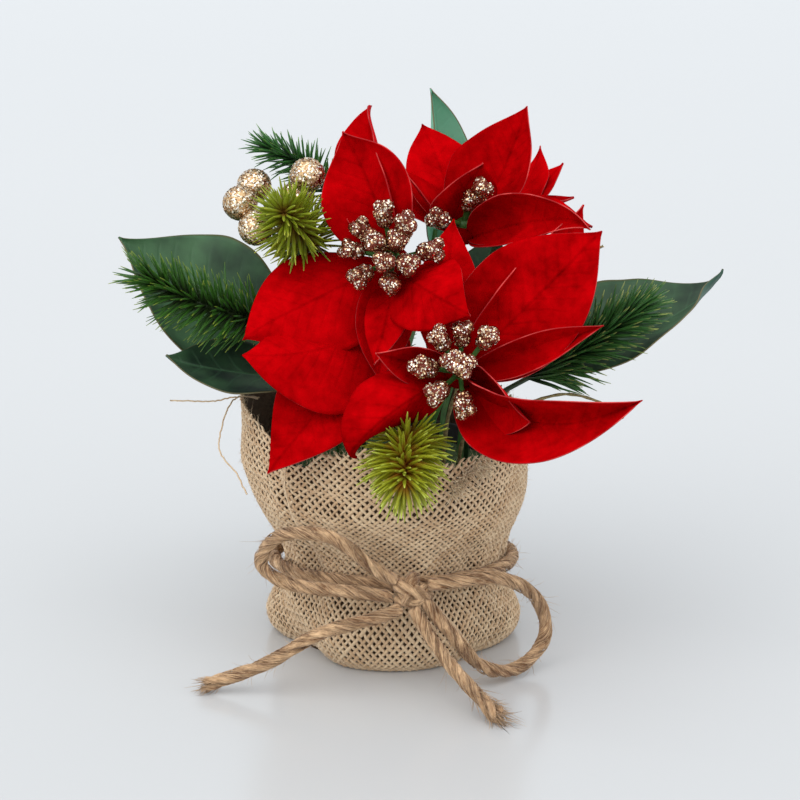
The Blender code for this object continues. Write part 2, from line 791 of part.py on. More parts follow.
clear_scene()
ARRANGEMENT = new_collection("poinsettia_arrangement")
BLACK_PLASTIC = material("black_plastic", (0.03, 0.03, 0.03), 0.5)
FOAM_GREEN = material("floral_foam", (0.09, 0.16, 0.06), 0.95)
SACKING = material("sacking", (0.55, 0.42, 0.28), 0.95)
JUTE = material("jute", (0.52, 0.34, 0.19), 0.9)
RED = material("red_bract", (0.6, 0.005, 0.01), 0.7)
GOLD = material("gold_glitter", (0.75, 0.55, 0.3), 0.35, 0.8)
STEM_GREEN = material("stem_green", (0.06, 0.2, 0.05), 0.6)
LEAF_GREEN = material("leaf_green", (0.02, 0.08, 0.045), 0.55)
FIR = material("fir_needles", (0.06, 0.2, 0.03), 0.5)
TWIG = material("twig_bark", (0.3, 0.24, 0.1), 0.7)

HOLES = [(bloom.hole, BLOOM_STEM_RADIUS) for bloom in BLOOMS]
HOLES += [(leaf.hole, STEM_RADIUS) for leaf in LEAVES] + [(s.hole, STEM_RADIUS) for s in SPRIGS]
HOLES += [(BERRY_HOLE, STEM_RADIUS)] + [(hole, STEM_RADIUS) for hole, _ in TWIGS.values()]
make_pot()
make_foam(HOLES)
make_wrap()
make_twine()
for each in BLOOMS:
    make_bloom(each)
bract_trees = [tree_of(ARRANGEMENT.objects[bloom.name + "_bracts"]) for bloom in BLOOMS]
for each in BLOOMS:
    make_buds(each, bract_trees)
for each in LEAVES:
    make_leaf(each)
make_berries()
for label, (socket, branches) in TWIGS.items():
    make_twig(label, socket, branches)
for each in SPRIGS:
    make_sprig(each, [tree_of(obj) for obj in ARRANGEMENT.objects if obj.name != "foam"])
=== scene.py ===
"""A potted poinsettia arrangement in a sacking wrap, tied with a twine bow, in a plain studio."""

import math
import random
from collections import namedtuple

import bmesh
import bpy
import numpy as np
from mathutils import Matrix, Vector
from mathutils.bvhtree import BVHTree


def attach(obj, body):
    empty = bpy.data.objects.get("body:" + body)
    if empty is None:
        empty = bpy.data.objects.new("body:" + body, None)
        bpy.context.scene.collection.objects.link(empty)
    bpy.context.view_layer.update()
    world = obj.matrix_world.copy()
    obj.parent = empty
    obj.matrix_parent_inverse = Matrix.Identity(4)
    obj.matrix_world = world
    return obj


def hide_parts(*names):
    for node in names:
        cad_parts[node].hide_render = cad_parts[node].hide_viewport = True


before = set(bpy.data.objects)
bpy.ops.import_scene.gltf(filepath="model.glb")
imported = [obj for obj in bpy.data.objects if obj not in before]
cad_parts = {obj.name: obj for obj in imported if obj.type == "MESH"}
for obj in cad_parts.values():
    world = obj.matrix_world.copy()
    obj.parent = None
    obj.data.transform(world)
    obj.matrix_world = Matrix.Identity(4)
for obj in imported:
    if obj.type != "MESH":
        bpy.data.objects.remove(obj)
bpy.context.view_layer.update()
MM = 0.001


# The studio. The camera stands a metre off and looks 17 degrees down at the middle of the
# arrangement, which stands on a pale seamless board under large soft lamps.

AIM = Vector((0.0028, 0, 0.0987))
LOOK_DOWN = math.radians(17)

camera = bpy.data.objects.new("camera", bpy.data.cameras.new("camera"))
bpy.context.scene.collection.objects.link(camera)
back = Vector((0, -math.cos(LOOK_DOWN), math.sin(LOOK_DOWN)))
camera.location = AIM + back * 1.0
camera.rotation_mode = "QUATERNION"
camera.rotation_quaternion = (-back).to_track_quat("-Z", "Y")
camera.data.lens = 112.5
camera.data.clip_start = 0.01
bpy.context.scene.camera = camera
bpy.context.scene.view_settings.view_transform = "Standard"


class Wire:
    """An output of a finish's nodes. Sums and products of it become nodes too."""

    def __init__(self, tree, socket=None):
        self.tree = tree
        self.socket = socket

    def node(self, kind, inputs=None, out=0, stops=None, **settings):
        """A new node: its settings first, then what its sockets hold or are joined to."""
        made = self.tree.nodes.new("ShaderNode" + kind)
        for name, value in settings.items():
            setattr(made, name, value)
        if stops:
            ramp = made.color_ramp
            while len(ramp.elements) < len(stops):
                ramp.elements.new(0.5)
            for element, (position, colour) in zip(ramp.elements, stops):
                element.position = position
                element.color = (*colour, 1)
        for name, value in (inputs or {}).items():
            if isinstance(value, Wire):
                self.tree.links.new(value.socket, made.inputs[name])
            else:
                made.inputs[name].default_value = value
        return Wire(self.tree, made.outputs[out])

    def maths(self, operation, *values):
        return self.node("Math", dict(enumerate(values)), operation=operation)

    def __add__(self, other):
        return self.maths("ADD", self, other)

    def __sub__(self, other):
        return self.maths("SUBTRACT", self, other)

    def __rsub__(self, other):
        return self.maths("SUBTRACT", other, self)

    def __mul__(self, other):
        return self.maths("MULTIPLY", self, other)

    __radd__ = __add__
    __rmul__ = __mul__

    def between(self, low, high):
        """0 at or below low, 1 at or above high."""
        return self.node("MapRange", {"Value": self, "From Min": low, "From Max": high})

    def tint(self, first, second):
        """The first colour where this value is 0, the second where it is 1."""
        ends = [c if isinstance(c, Wire) else (*c, 1) for c in (first, second)]
        return self.node(
            "Mix", {0: self, 6: ends[0], 7: ends[1]}, 2, data_type="RGBA", blend_type="MIX"
        )

    def place(self):
        """Where on the object, in metres."""
        return self.node("TexCoord", out="Object")

    def value(self, name):
        """A number that the mesh carries at each of its points."""
        return self.node("Attribute", out="Fac", attribute_name=name)

    def noise(self, scale, detail=2, vector=None, rough=0.5):
        where = vector or self.place()
        inputs = {"Vector": where, "Scale": scale, "Detail": detail, "Roughness": rough}
        return self.node("TexNoise", inputs)

    def bump(self, height, depth, strength=1.0):
        return self.node("Bump", {"Height": height, "Distance": depth, "Strength": strength})


def finish(name, paint, **fixed):
    """A material: paint gives what changes over the surface, fixed what is the same all over."""
    made = bpy.data.materials.new(name)
    made.use_nodes = True
    shader = made.node_tree.nodes["Principled BSDF"]
    for socket, value in fixed.items():
        shader.inputs[socket.replace("_", " ").title().replace("Ior", "IOR")].default_value = value
    for socket, wire in paint(Wire(made.node_tree)).items():
        made.node_tree.links.new(wire.socket, shader.inputs[socket])
    return made


def board_paint(w):
    """Pale, with painted light that makes it a little paler towards the far end."""
    far = w.node("SeparateXYZ", {"Vector": w.place()}, "Y").between(-0.25, 1.9)
    # Painted light: the board grows paler towards the far end, with a faint random cloudiness on
    # top.
    far_light_and_cloud = far + w.noise(3, 2) * 0.06
    return {"Base Color": far_light_and_cloud.tint((0.557, 0.563, 0.567), (0.716, 0.725, 0.73))}


bpy.ops.mesh.primitive_plane_add(size=14)
floor = bpy.context.object
floor.name = "studio_board"
floor.data.materials.append(
    finish("studio_board", board_paint, roughness=0.2, specular_ior_level=0.6)
)

world = bpy.data.worlds.new("studio")
world.use_nodes = True
sky = world.node_tree.nodes["Background"].inputs
sky["Color"].default_value = (0.86, 0.9, 0.94, 1)
sky["Strength"].default_value = 1.0
bpy.context.scene.world = world


def lamp(name, place, size, power, warmth):
    made = bpy.data.lights.new(name, "AREA")
    made.size = size
    made.energy = power
    made.color = warmth
    obj = bpy.data.objects.new(name, made)
    obj.location = place
    obj.rotation_mode = "QUATERNION"
    obj.rotation_quaternion = (Vector((0, 0, 0.1)) - obj.location).to_track_quat("-Z", "Y")
    bpy.context.scene.collection.objects.link(obj)


lamp("overhead_softbox", (-0.5, -1.5, 3.3), 4.2, 76, (1, 0.99, 0.97))
lamp("left_softbox", (-3.1, -2.6, 1.9), 3.0, 31, (1, 1, 1))
lamp("right_softbox", (3.3, -2.2, 1.7), 3.0, 27, (0.97, 0.985, 1))


# Pot and foam. A small moulded black pot holds a plug of floral foam, which every stem is
# pushed into. Both stay as they are in the frame and take their own finishes here.


def plastic_paint(w):
    worn = w.noise(900, 4)
    return {
        "Base Color": worn.tint((0.012, 0.012, 0.013), (0.03, 0.03, 0.031)),
        "Roughness": worn * 0.25 + 0.35,
        "Normal": w.bump(w.noise(2600, 3), 0.05 * MM),
    }


def foam_paint(w):
    cell = w.node("TexVoronoi", {"Vector": w.place(), "Scale": 1500}, "Distance")
    crumb = w.noise(260, 5)
    return {
        "Base Color": (cell * 1.6 * crumb).tint((0.02, 0.045, 0.015), (0.15, 0.25, 0.09)),
        "Normal": w.bump(cell + crumb, 0.5 * MM),
    }


def dress(node, material):
    """Gives a piece of the frame its finish."""
    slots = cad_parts[node].data.materials
    slots.clear()
    slots.append(material)


dress("pot", finish("black_plastic", plastic_paint))
dress("foam", finish("floral_foam", foam_paint, roughness=0.95))


# Sacking wrap. A piece of coarse jute sacking is drawn up round the pot on the bias, gathered
# at the waist under the twine and left with a raw edge. Its yarns lie over a thin backing.

ROWS = np.array([  # the outline of the sack: how far out and how high, from the base up
    (0, 0), (38, 0), (46, 2), (49.6, 8), (49, 15), (46.4, 24), (45.6, 33), (47, 42),
    (50.4, 53), (53, 64), (53.8, 76),
]) * MM
WAIST_TILT = 6
YARNS = 104
BIAS_RADIUS = 51 * MM  # the radius at which the yarns cross at right angles
FOOT_REACH = 41 * MM  # where the yarns begin, just inside the edge of the base
YARN_WIDE = 0.66 * MM
YARN_THICK = 0.44 * MM
YARN_STEP = 0.78 * MM
OVER = 0.33 * MM  # how far a yarn rises over the one that it crosses
FUZZ_HAIRS, RIM_HAIRS, TUFT_HAIRS = 2600, 900, 260


def reach_along(line):
    """How far along a line each of its points lies."""
    return np.concatenate([[0], np.cumsum(np.linalg.norm(np.diff(line, axis=0), axis=1))])


REACH = reach_along(ROWS)


def near(angle, middle, spread):
    away = (np.degrees(angle) - middle + 180) % 360 - 180
    return np.exp(-((away / spread) ** 2))


def rim_height(angle):
    """The height of the raw edge: a corner at the left and dips at the front and right."""
    corner = 12 * near(angle, 184, 26) - 5 * near(angle, 293, 12) - 5 * near(angle, 345, 40)
    return (92 + corner - 7 * near(angle, 226, 12) + 2 * np.sin(3 * angle)) * MM


def raw_edge(angle):
    """How far up the cloth its raw edge lies."""
    return REACH[-1] + rim_height(angle) - ROWS[-1, 1]


def lean(angle, height):
    """How far the cloth bulges at its corners and is drawn in between them."""
    level = height / MM
    up = np.clip((level - 45) / 31, 0, 1)
    foot = np.exp(-((level / 17) ** 2))
    tied = np.exp(-(((level - 33) / 15) ** 2))
    folds = np.sin(9 * angle + 0.6) + 0.5 * np.sin(5 * angle + 2.1) - 1.4
    out = 6.5 * near(angle, 182, 38) * up
    out += foot * (3 * near(angle, 175, 22) + 2.5 * near(angle, 355, 22))
    out -= foot * (8.5 * near(angle, 214, 20) + 3.5 * near(angle, 318, 20))
    return (out + tied * folds) * MM


def creases(angle, height):
    """Sharp folds and soft dents pressed into the cloth by hand."""
    level = height / MM
    body = np.clip(level / 12, 0, 1)
    slanting = np.degrees(angle) + 0.22 * (level - 60)
    long_fold = np.exp(-(((slanting - 222) / 2.6) ** 2))
    long_fold = long_fold - 0.8 * np.exp(-(((slanting - 228) / 4) ** 2))
    upper = np.clip((level - 36) / 12, 0, 1)
    low = np.exp(-(((level - 20) / 11) ** 2))
    pleats = np.sin(21 * angle + 1.3 + 0.06 * level) * np.exp(-(((level - 36) / 13) ** 2))
    dents = np.sin(4 * angle + level * 0.09) * np.sin(7 * angle - level * 0.13 + 1)
    foot_fold = np.sin(13 * angle + level * 0.2) * low
    return body * (-1.5 * long_fold * upper + 0.6 * pleats + 0.5 * dents + 0.45 * foot_fold) * MM


def eased(a, b, first, last, t):
    """A smooth step from a to b that leaves and arrives at these slopes."""
    return (
        (2 * t**3 - 3 * t**2 + 1) * a + (t**3 - 2 * t**2 + t) * first
        + (3 * t**2 - 2 * t**3) * b + (t**3 - t**2) * last
    )


def smooth_read(reach, column):
    """A value of the outline at that reach, on a curve through its rows."""
    at = np.interp(reach, REACH, np.arange(len(REACH)))
    k = np.clip(at.astype(int), 0, len(column) - 2)
    a, b = column[k], column[k + 1]
    before, after = column[np.maximum(k - 1, 0)], column[np.minimum(k + 2, len(column) - 1)]
    first = np.where(k == 0, b - a, (b - before) / 2)
    return eased(a, b, first, (after - a) / 2, at - k)


def cloth_point(angle, reach, proud):
    """A point of the cloth that far up from the middle of the base, standing that far out."""
    angle, reach = np.broadcast_arrays(np.asarray(angle, float), np.asarray(reach, float))
    radius = smooth_read(reach, ROWS[:, 0])
    height = smooth_read(reach, ROWS[:, 1]) + np.clip(reach - REACH[-1], 0, None)
    bent = lean(angle, height) + creases(angle, height)
    radius = radius + bent * np.clip(height / (0.4 * MM), 0, 1)
    share = np.sin(np.pi * np.clip(height / (66 * MM), 0, 1))  # tilted most at the waist
    height = height - WAIST_TILT * MM * np.sin(angle) * share
    radius = radius + proud * (height > 0)
    height = np.maximum(height, 0.25 * MM * (height > 0))
    return np.stack([radius * np.cos(angle), radius * np.sin(angle), height], -1)


def unit(v):
    return v / np.maximum(np.linalg.norm(v, axis=-1, keepdims=True), 1e-12)


def ring_faces(rings, sides):
    """The faces between closed rings of points, numbered one ring after another."""
    k, j = np.meshgrid(np.arange(rings - 1), np.arange(sides), indexing="ij")
    a, b = k * sides + j, k * sides + (j + 1) % sides
    return np.stack([a, b, b + sides, a + sides], -1).reshape(-1, 4)


def strands(lines, radii, outward, sides=3, flat=1.0):
    """Tubes along many lines at once, their rings turned to face outward.

    Each carries how far along and round it a point lies, in millimetres and in turns.
    """
    lines = np.asarray(lines, float)
    count, rings, _ = lines.shape
    ahead = unit(np.gradient(lines, axis=1))
    out = np.broadcast_to(outward, lines.shape)
    out = unit(out - (out * ahead).sum(-1, keepdims=True) * ahead)
    side = np.cross(ahead, out)
    turn = np.arange(sides) / sides
    c, s = np.cos(2 * np.pi * turn), np.sin(2 * np.pi * turn)
    radii = np.broadcast_to(radii, (count, rings))[:, :, None, None]
    ring = side[:, :, None] * c[:, None] + out[:, :, None] * s[:, None] * flat
    points = (lines[:, :, None] + radii * ring).reshape(-1, 3)
    faces = ring_faces(rings, sides) + rings * sides * np.arange(count)[:, None, None]
    step = np.linalg.norm(np.diff(lines, axis=1), axis=2)
    along = np.concatenate([np.zeros((count, 1)), np.cumsum(step, 1)], 1) / MM
    along = np.repeat(along[:, :, None], sides, 2).ravel()
    around = np.broadcast_to(turn, (count, rings, sides)).ravel()
    strand = np.repeat(np.arange(count) * 0.37 % 1, rings * sides)
    return points, faces.reshape(-1, 4), {"along": along, "around": around, "strand": strand}


def tube(line, radii, outward, sides, number=0, flat=1.0, **values):
    """A tube along one line, as one part."""
    points, faces, carried = strands(line[None], radii, outward, sides, flat)
    return points, faces, {**carried, **values}, number


def spread(values, count, size):
    """One value for each strand, given to all of its points."""
    return np.repeat(np.asarray(values, float), size // count)


def put_together(name, parts, finishes):
    """A mesh of many parts, each its points, faces, carried values and finish number."""
    points, faces, numbers, start = [], [], [], 0
    carried = {key: [] for _, _, values, _ in parts for key in values}
    for part_points, part_faces, values, number in parts:
        points.append(part_points)
        faces += (np.asarray(part_faces) + start).tolist()
        numbers += [number] * len(part_faces)
        for key, column in carried.items():
            column.append(np.broadcast_to(values.get(key, 0.0), len(part_points)))
        start += len(part_points)
    points = np.concatenate(points)
    points[:, 2] = np.maximum(points[:, 2], 0.05 * MM)  # nothing sinks into what it stands on
    mesh = bpy.data.meshes.new(name)
    mesh.from_pydata(points.tolist(), [], faces)
    mesh.polygons.foreach_set("material_index", np.array(numbers, np.int32))
    for key, column in carried.items():
        made = mesh.attributes.new(key, "FLOAT", "POINT")
        made.data.foreach_set("value", np.concatenate(column).astype(np.float32))
    for material in finishes:
        mesh.materials.append(material)
    mesh.shade_smooth()
    obj = bpy.data.objects.new(name, mesh)
    bpy.context.scene.collection.objects.link(obj)
    return obj


def belongs(obj, slot, *nodes):
    """The piece rides with the arrangement and stands for these pieces of the frame."""
    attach(obj, "root")
    if nodes:
        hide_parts(*nodes)
    return obj


def piece(name, parts, finishes, slot, *nodes):
    """A mesh of these parts, which belongs to the arrangement."""
    return belongs(put_together(name, parts, finishes), slot, *nodes)


def fibre_paint(dark, pale, stretch, fine=9, contrast=1.0):
    """Spun fibre: pale and dark hairs that run along the yarn."""

    def paint(w):
        along, around = w.value("along"), w.value("around")
        fibre = {"X": around * fine, "Y": along * stretch, "Z": w.value("strand") * 40}
        across = w.node("CombineXYZ", fibre)
        hair = w.noise(1, 4, across, 0.65)
        blotch = w.noise(160, 3)
        mixed = (hair * 0.75 + blotch * 0.45 - 0.58) * contrast + w.value("tint") * 0.3 + 0.3
        return {"Base Color": mixed.tint(dark, pale), "Normal": w.bump(hair, 0.22 * MM)}

    return paint


sacking = finish(
    "sacking_yarn", fibre_paint((0.5, 0.3, 0.15), (1.0, 0.82, 0.56), 0.9),
    roughness=0.92, sheen_weight=0.25, sheen_roughness=0.5,
)


def grained(dark, pale, grain, bump):
    """A paint of one grain, dark to pale: its scale and detail, then the bump's and its depth."""

    def paint(w):
        speck = w.noise(*grain)
        base = speck.tint(dark, pale)
        rough = speck if bump[:2] == grain else w.noise(*bump[:2])
        return {"Base Color": base, "Normal": w.bump(rough, bump[2] * MM)}

    return paint


# Painted shade: the thin backing under the yarns is painted dark brown, for the shade that shows
# through the gaps of the weave.
shade_backing_paint = grained((0.035, 0.02, 0.009), (0.11, 0.066, 0.033), (700, 3), (1500, 3, 0.2))
cloth_draw = np.random.default_rng(5)
cloth_turns, cloth_rows = 160, 60
row_of, turn_of = np.meshgrid(np.arange(cloth_rows + 1), np.arange(cloth_turns), indexing="ij")
angle_of = 2 * np.pi * turn_of / cloth_turns
edge_reach = raw_edge(angle_of) - 1.2 * MM
reach_of = 1 * MM + (edge_reach - 1 * MM) * row_of / cloth_rows
backing_points = cloth_point(angle_of, reach_of, -0.8 * MM).reshape(-1, 3)
backing = put_together(
    "sacking_backing",
    [(backing_points, ring_faces(cloth_rows + 1, cloth_turns), {}, 0)],
    [finish("sacking_backing", shade_backing_paint, roughness=0.95)],
)
centre = bmesh.new()
centre.from_mesh(backing.data)
hole = [e for e in centre.edges if e.is_boundary and e.verts[0].co.xy.length < 3 * MM]
bmesh.ops.contextual_create(centre, geom=hole)
centre.to_mesh(backing.data)
centre.free()
thick = backing.modifiers.new("thickness", "SOLIDIFY")
thick.thickness = 0.45 * MM
thick.offset = -1
belongs(backing, "sacking", "burlap_wrap")


def yarn_set(name, slope, parity):
    """All the yarns that climb one way round the sack, over and under the other way's."""
    parts = []
    for i in range(YARNS):
        first = 2 * math.pi * i / YARNS
        reach = np.arange(FOOT_REACH, REACH[-1] + 34 * MM, YARN_STEP)
        angle = first + slope * (reach - FOOT_REACH) / BIAS_RADIUS
        edge = raw_edge(angle)
        keep = reach < edge + cloth_draw.uniform(-0.5, 2.6) * MM
        reach, angle, edge = reach[keep], angle[keep], edge[keep]
        other = slope * (angle + slope * (reach - FOOT_REACH) / BIAS_RADIUS) * YARNS / (2 * np.pi)
        wave = parity * np.cos(np.pi * (other + i))
        beyond = np.clip((reach - edge + 1.5 * MM) / (4 * MM), 0, 1)
        proud = OVER * wave + beyond * cloth_draw.uniform(-0.4, 2.0) * MM
        wander = cloth_draw.normal(0, 0.004) + 0.006 * np.sin(reach / MM / 9 + i)
        line = cloth_point(angle + wander * 0.6, reach, proud)
        outward = line * np.array([1, 1, 0])
        size = cloth_draw.uniform(0.82, 1.18) * (1 + 0.12 * np.sin(reach / MM * 0.9 + i * 7))
        size[-1] = 0.3
        flat, tint = YARN_THICK / YARN_WIDE, cloth_draw.uniform(-0.5, 0.5)
        parts.append(tube(line, YARN_WIDE * size, outward, 5, flat=flat, tint=tint))
    return piece(name, parts, [sacking], "sacking")


yarns_up = yarn_set("sacking_yarns_one_way", 1, 1)
yarns_down = yarn_set("sacking_yarns_other_way", -1, -1)


def hairs(roots, ways, lengths, thick, bend, draw):
    """Loose fibres: fine tapering hairs that leave their roots and curl over."""
    t = np.linspace(0, 1, 4)[None, :, None]
    roots, ways = np.asarray(roots), unit(np.asarray(ways))
    curl = unit(draw.normal(size=roots.shape))
    lengths = np.asarray(lengths)[:, None, None]
    lines = roots[:, None] + lengths * (ways[:, None] * t + curl[:, None] * t * t * bend)
    points, faces, values = strands(lines, thick * np.array([1, 0.8, 0.55, 0.15]), curl[:, None], 3)
    tint = spread(draw.uniform(-0.2, 0.9, len(roots)), len(roots), len(points))
    return points, faces, {**values, "tint": tint}, 0


fuzz_angle = cloth_draw.uniform(0, 2 * np.pi, FUZZ_HAIRS)
fuzz_reach = cloth_draw.uniform(50, 128, FUZZ_HAIRS) * MM
fuzz_root = cloth_point(fuzz_angle, np.minimum(fuzz_reach, raw_edge(fuzz_angle)), 0.2 * MM)
fuzz_way = fuzz_root * np.array([1, 1, 0]) / (50 * MM)
fuzz_way = fuzz_way + cloth_draw.normal(0, 0.9, fuzz_root.shape)
rim_angle = cloth_draw.uniform(0, 2 * np.pi, RIM_HAIRS)
rim_root = cloth_point(rim_angle, raw_edge(rim_angle) - 0.4 * MM, 0.1 * MM)
rim_way = cloth_draw.normal(0, 0.5, rim_root.shape) + np.array([0, 0, 0.9])
fuzz_long = cloth_draw.uniform(0.8, 2.6, FUZZ_HAIRS) * MM
fuzz = hairs(fuzz_root, fuzz_way, fuzz_long, 0.055 * MM, 0.6, cloth_draw)
rim_long = cloth_draw.uniform(1.2, 4.2, RIM_HAIRS) * MM
rim = hairs(rim_root, rim_way, rim_long, 0.08 * MM, 0.7, cloth_draw)
sacking_fuzz = piece("sacking_fuzz", [fuzz, rim], [sacking], "sacking")

LOOSE_THREADS = [  # pulled out of the raw edge, in millimetres
    [(-53.5, 4, 98.5), (-62, 2, 99.5), (-73, -1, 98.5), (-89, -3, 99.5)],
    [(-53.5, -6, 101), (-61.5, -12, 103.5), (-66, -20, 98), (-67.5, -30, 87.5),
     (-60.5, -36, 79.5), (-56.5, -40, 72.5)],
    [(-41.5, -40.5, 84), (-41.5, -44, 76), (-38.5, -47, 66), (-33.5, -48.5, 56.5)],
]


def curve_through(points, step):
    """A smooth line through the points, read off that far apart."""
    p = np.asarray(points, float)
    ends = np.vstack([2 * p[0] - p[1], p, 2 * p[-1] - p[-2]])
    found = []
    t = np.linspace(0, 1, 40, endpoint=False)[:, None]
    for before, a, b, after in zip(ends, ends[1:], ends[2:], ends[3:]):
        found.append(eased(a, b, (b - before) / 2, (after - a) / 2, t))
    line = np.vstack([*found, p[-1:]])
    reach = reach_along(line)
    even = np.linspace(0, reach[-1], max(4, round(reach[-1] / step) + 1))
    return np.stack([np.interp(even, reach, line[:, i]) for i in range(3)], -1)


tuft_angle = np.radians(cloth_draw.uniform(294, 313, TUFT_HAIRS))
tuft_reach = raw_edge(tuft_angle) - cloth_draw.uniform(0, 5, TUFT_HAIRS) * MM
tuft_reach -= np.clip(304 - np.degrees(tuft_angle), 0, 10) * 0.7 * MM
tuft_root = cloth_point(tuft_angle, tuft_reach, 0.5 * MM)
tuft_way = unit(tuft_root * np.array([1, 1, 0])) * 0.7
tuft_way = tuft_way + cloth_draw.normal(0, 0.45, tuft_root.shape)
tuft_way[:, 2] -= 0.35
tuft_long = cloth_draw.uniform(2.5, 6.5, TUFT_HAIRS) * MM
tuft = hairs(tuft_root, tuft_way, tuft_long, 0.3 * MM, 0.55, cloth_draw)
# Painted light: the tuft hairs are painted paler than the rest, to make up for the shade of the
# bract above them.
tuft[2]["tint"] += 0.9
thread_parts = [tuft]
for route in LOOSE_THREADS:
    line = curve_through(np.array(route) * MM, 1 * MM)
    line = line + cloth_draw.normal(0, 0.12, line.shape) * MM
    thread_parts.append(tube(line, 0.33 * MM, (0, 0, 1), 5, tint=0.5))
loose_threads = piece("loose_threads", thread_parts, [sacking], "sacking")


# Twine. Three plies of coarse jute are laid up into a twine about 5 mm thick. One length goes
# round the waist of the sack and is tied in a bow at the front, its two ends cut off.

TWINE = 5.2 * MM
PLY = 1.42 * MM  # the radius of one ply
PLY_SIDES = 9
FRAY_REACH = 16 * MM
LAY = 27 * MM  # the length in which the plies go once round
WAIST_RADIUS = 45.6 * MM
WAIST_HEIGHT = 33 * MM
KNOT = np.array((7, -55.9, 39)) * MM
KNOT_REACH = np.array((7.4, 4.9, 6.4)) * MM
FRAYED = {"bow_tail_left": 0.4, "bow_tail_right": 1}
BOW = {  # each free run of the bow: its route, in millimetres, and what is on its far end
    "bow_loop_left": ([
        (2.4, -56.4, 42.4), (-7, -58.5, 49), (-24, -59.2, 62), (-43.4, -49.8, 59.2),
        (-51.4, -42.3, 45.4), (-40.4, -47.6, 38.6), (-16.2, -57, 38.8), (2.2, -56.6, 36.6),
    ], "object"),
    "bow_loop_right": ([
        (11.6, -56.4, 41.2), (23, -57.4, 43), (42, -51, 42), (56.2, -41, 30), (60, -39.6, 13.4),
        (49.4, -49.6, 4.4), (35.2, -60, 8.8), (21.7, -61.8, 24.4), (12, -57.6, 35.8),
    ], "object"),
    "bow_tail_left": ([
        (3.6, -58, 32), (-7, -61.4, 29.6), (-28.4, -64, 24.2), (-49, -64.8, 12.2),
        (-73, -64.6, 2.9),
    ], "bare"),
    "bow_tail_right": (
        [(8, -58.8, 33), (12.6, -64.6, 26.2), (23.6, -75.2, 14.2), (40, -94.6, 2.9)], "bare",
    ),
}
jute = finish(
    "jute_twine", fibre_paint((0.17, 0.07, 0.022), (1.0, 0.68, 0.39), 0.45, 26, 1.7),
    roughness=0.92, sheen_weight=0.2, sheen_roughness=0.5,
)
twine_draw = np.random.default_rng(11)


def way_round(turn, across, over):
    """The direction at that turn from across towards over."""
    turn = np.asarray(turn)[..., None]
    return np.cos(turn) * across + np.sin(turn) * over


def lay_plies(line, across, over, reach, closed, frayed):
    """Three ridged plies, wound round the line, which part towards a frayed end."""
    turns = reach / LAY
    if closed:
        turns = reach / reach[-1] * round(reach[-1] / LAY)
    parting = np.clip((reach - reach[-1] + FRAY_REACH) / FRAY_REACH, 0, 1) ** 2
    off = (TWINE / 2 - PLY) * (1 + 1.5 * frayed * parting)
    plies, outward = [], []
    for ply in range(3):
        turn = 2 * np.pi * (turns + ply / 3) + 0.5 * np.sin(reach / MM / 13 + ply)
        outward.append(way_round(turn, across, over))
        plies.append(line + outward[-1] * off[:, None])
    size = PLY * (1 + 0.07 * np.sin(reach / MM / 5 + 1))
    if not closed:
        size[0] = size[-1] = 0.1 * MM
        size[-2] = PLY * 0.75
    points, faces, values = strands(np.array(plies), size, np.array(outward), PLY_SIDES)
    ridge = twine_draw.normal(0, 1, (3, len(line), PLY_SIDES))
    for k in range(1, len(line)):
        ridge[:, k] = 0.8 * ridge[:, k - 1] + 0.6 * ridge[:, k]
    ridge = np.clip(ridge, -1.6, 1.6).ravel()
    middles = np.repeat(np.array(plies).reshape(-1, 3), PLY_SIDES, axis=0)
    points = middles + (points - middles) * (1 + 0.1 * ridge[:, None])
    # The tone differs at random from ply to ply. It is also painted darker where a ply's surface
    # sinks in and lighter where it stands out, as painted shade.
    shade = spread(twine_draw.uniform(-0.35, 0.35, 3), 3, len(points)) + 0.45 * ridge
    return points, faces, {**values, "tint": shade}, 0


def stray_hairs(line, ahead, across, over, reach):
    """Hairs that stick out of the twine all along it."""
    number = int(reach[-1] / MM * 2.6)
    at = twine_draw.integers(1, len(line) - 1, number)
    out = way_round(twine_draw.uniform(0, 2 * np.pi, number), across[at], over[at])
    roots = line[at] + out * TWINE * 0.42
    ways = out * 0.5 + ahead[at] * twine_draw.uniform(0.3, 1.2, number)[:, None]
    lengths = (1 + 6 * twine_draw.uniform(0, 1, number) ** 3) * MM
    return hairs(roots, ways, lengths, 0.09 * MM, 0.5, twine_draw)


def lying_fibres(line, across, over, reach):
    """Coarse fibres that lie on the plies and wind with them."""
    number = int(reach[-1] / MM * 1.5)
    first = twine_draw.uniform(-6 * MM, reach[-1] - 8 * MM, number)[:, None]
    run = first + twine_draw.uniform(10, 30, number)[:, None] * MM * np.linspace(0, 1, 12)
    run = np.clip(run, 0, reach[-1])
    turn = twine_draw.uniform(0, 2 * np.pi, number)[:, None] + 2 * np.pi * run / LAY
    turn = turn + 0.5 * np.sin(run / MM / 6 + first / MM)
    away = TWINE / 2 * (0.86 + 0.16 * np.abs(np.sin(run / MM / 5 + first)))[..., None]
    middle, beside, above = (
        np.stack([np.interp(run, reach, column[:, axis]) for axis in range(3)], -1)
        for column in (line, across, over)
    )
    out = way_round(turn, beside, above)
    apart = 1e-7 * np.arange(12)[:, None]  # where a fibre is cut short its points stay apart
    size = 0.2 * MM * np.array([0.2, 0.8, *[1] * 8, 0.8, 0.2])
    points, faces, values = strands(middle + out * away + apart, size, out, 4)
    shade = spread(twine_draw.uniform(-0.9, 0.9, number), number, len(points))
    return points, faces, {**values, "tint": shade}, 0


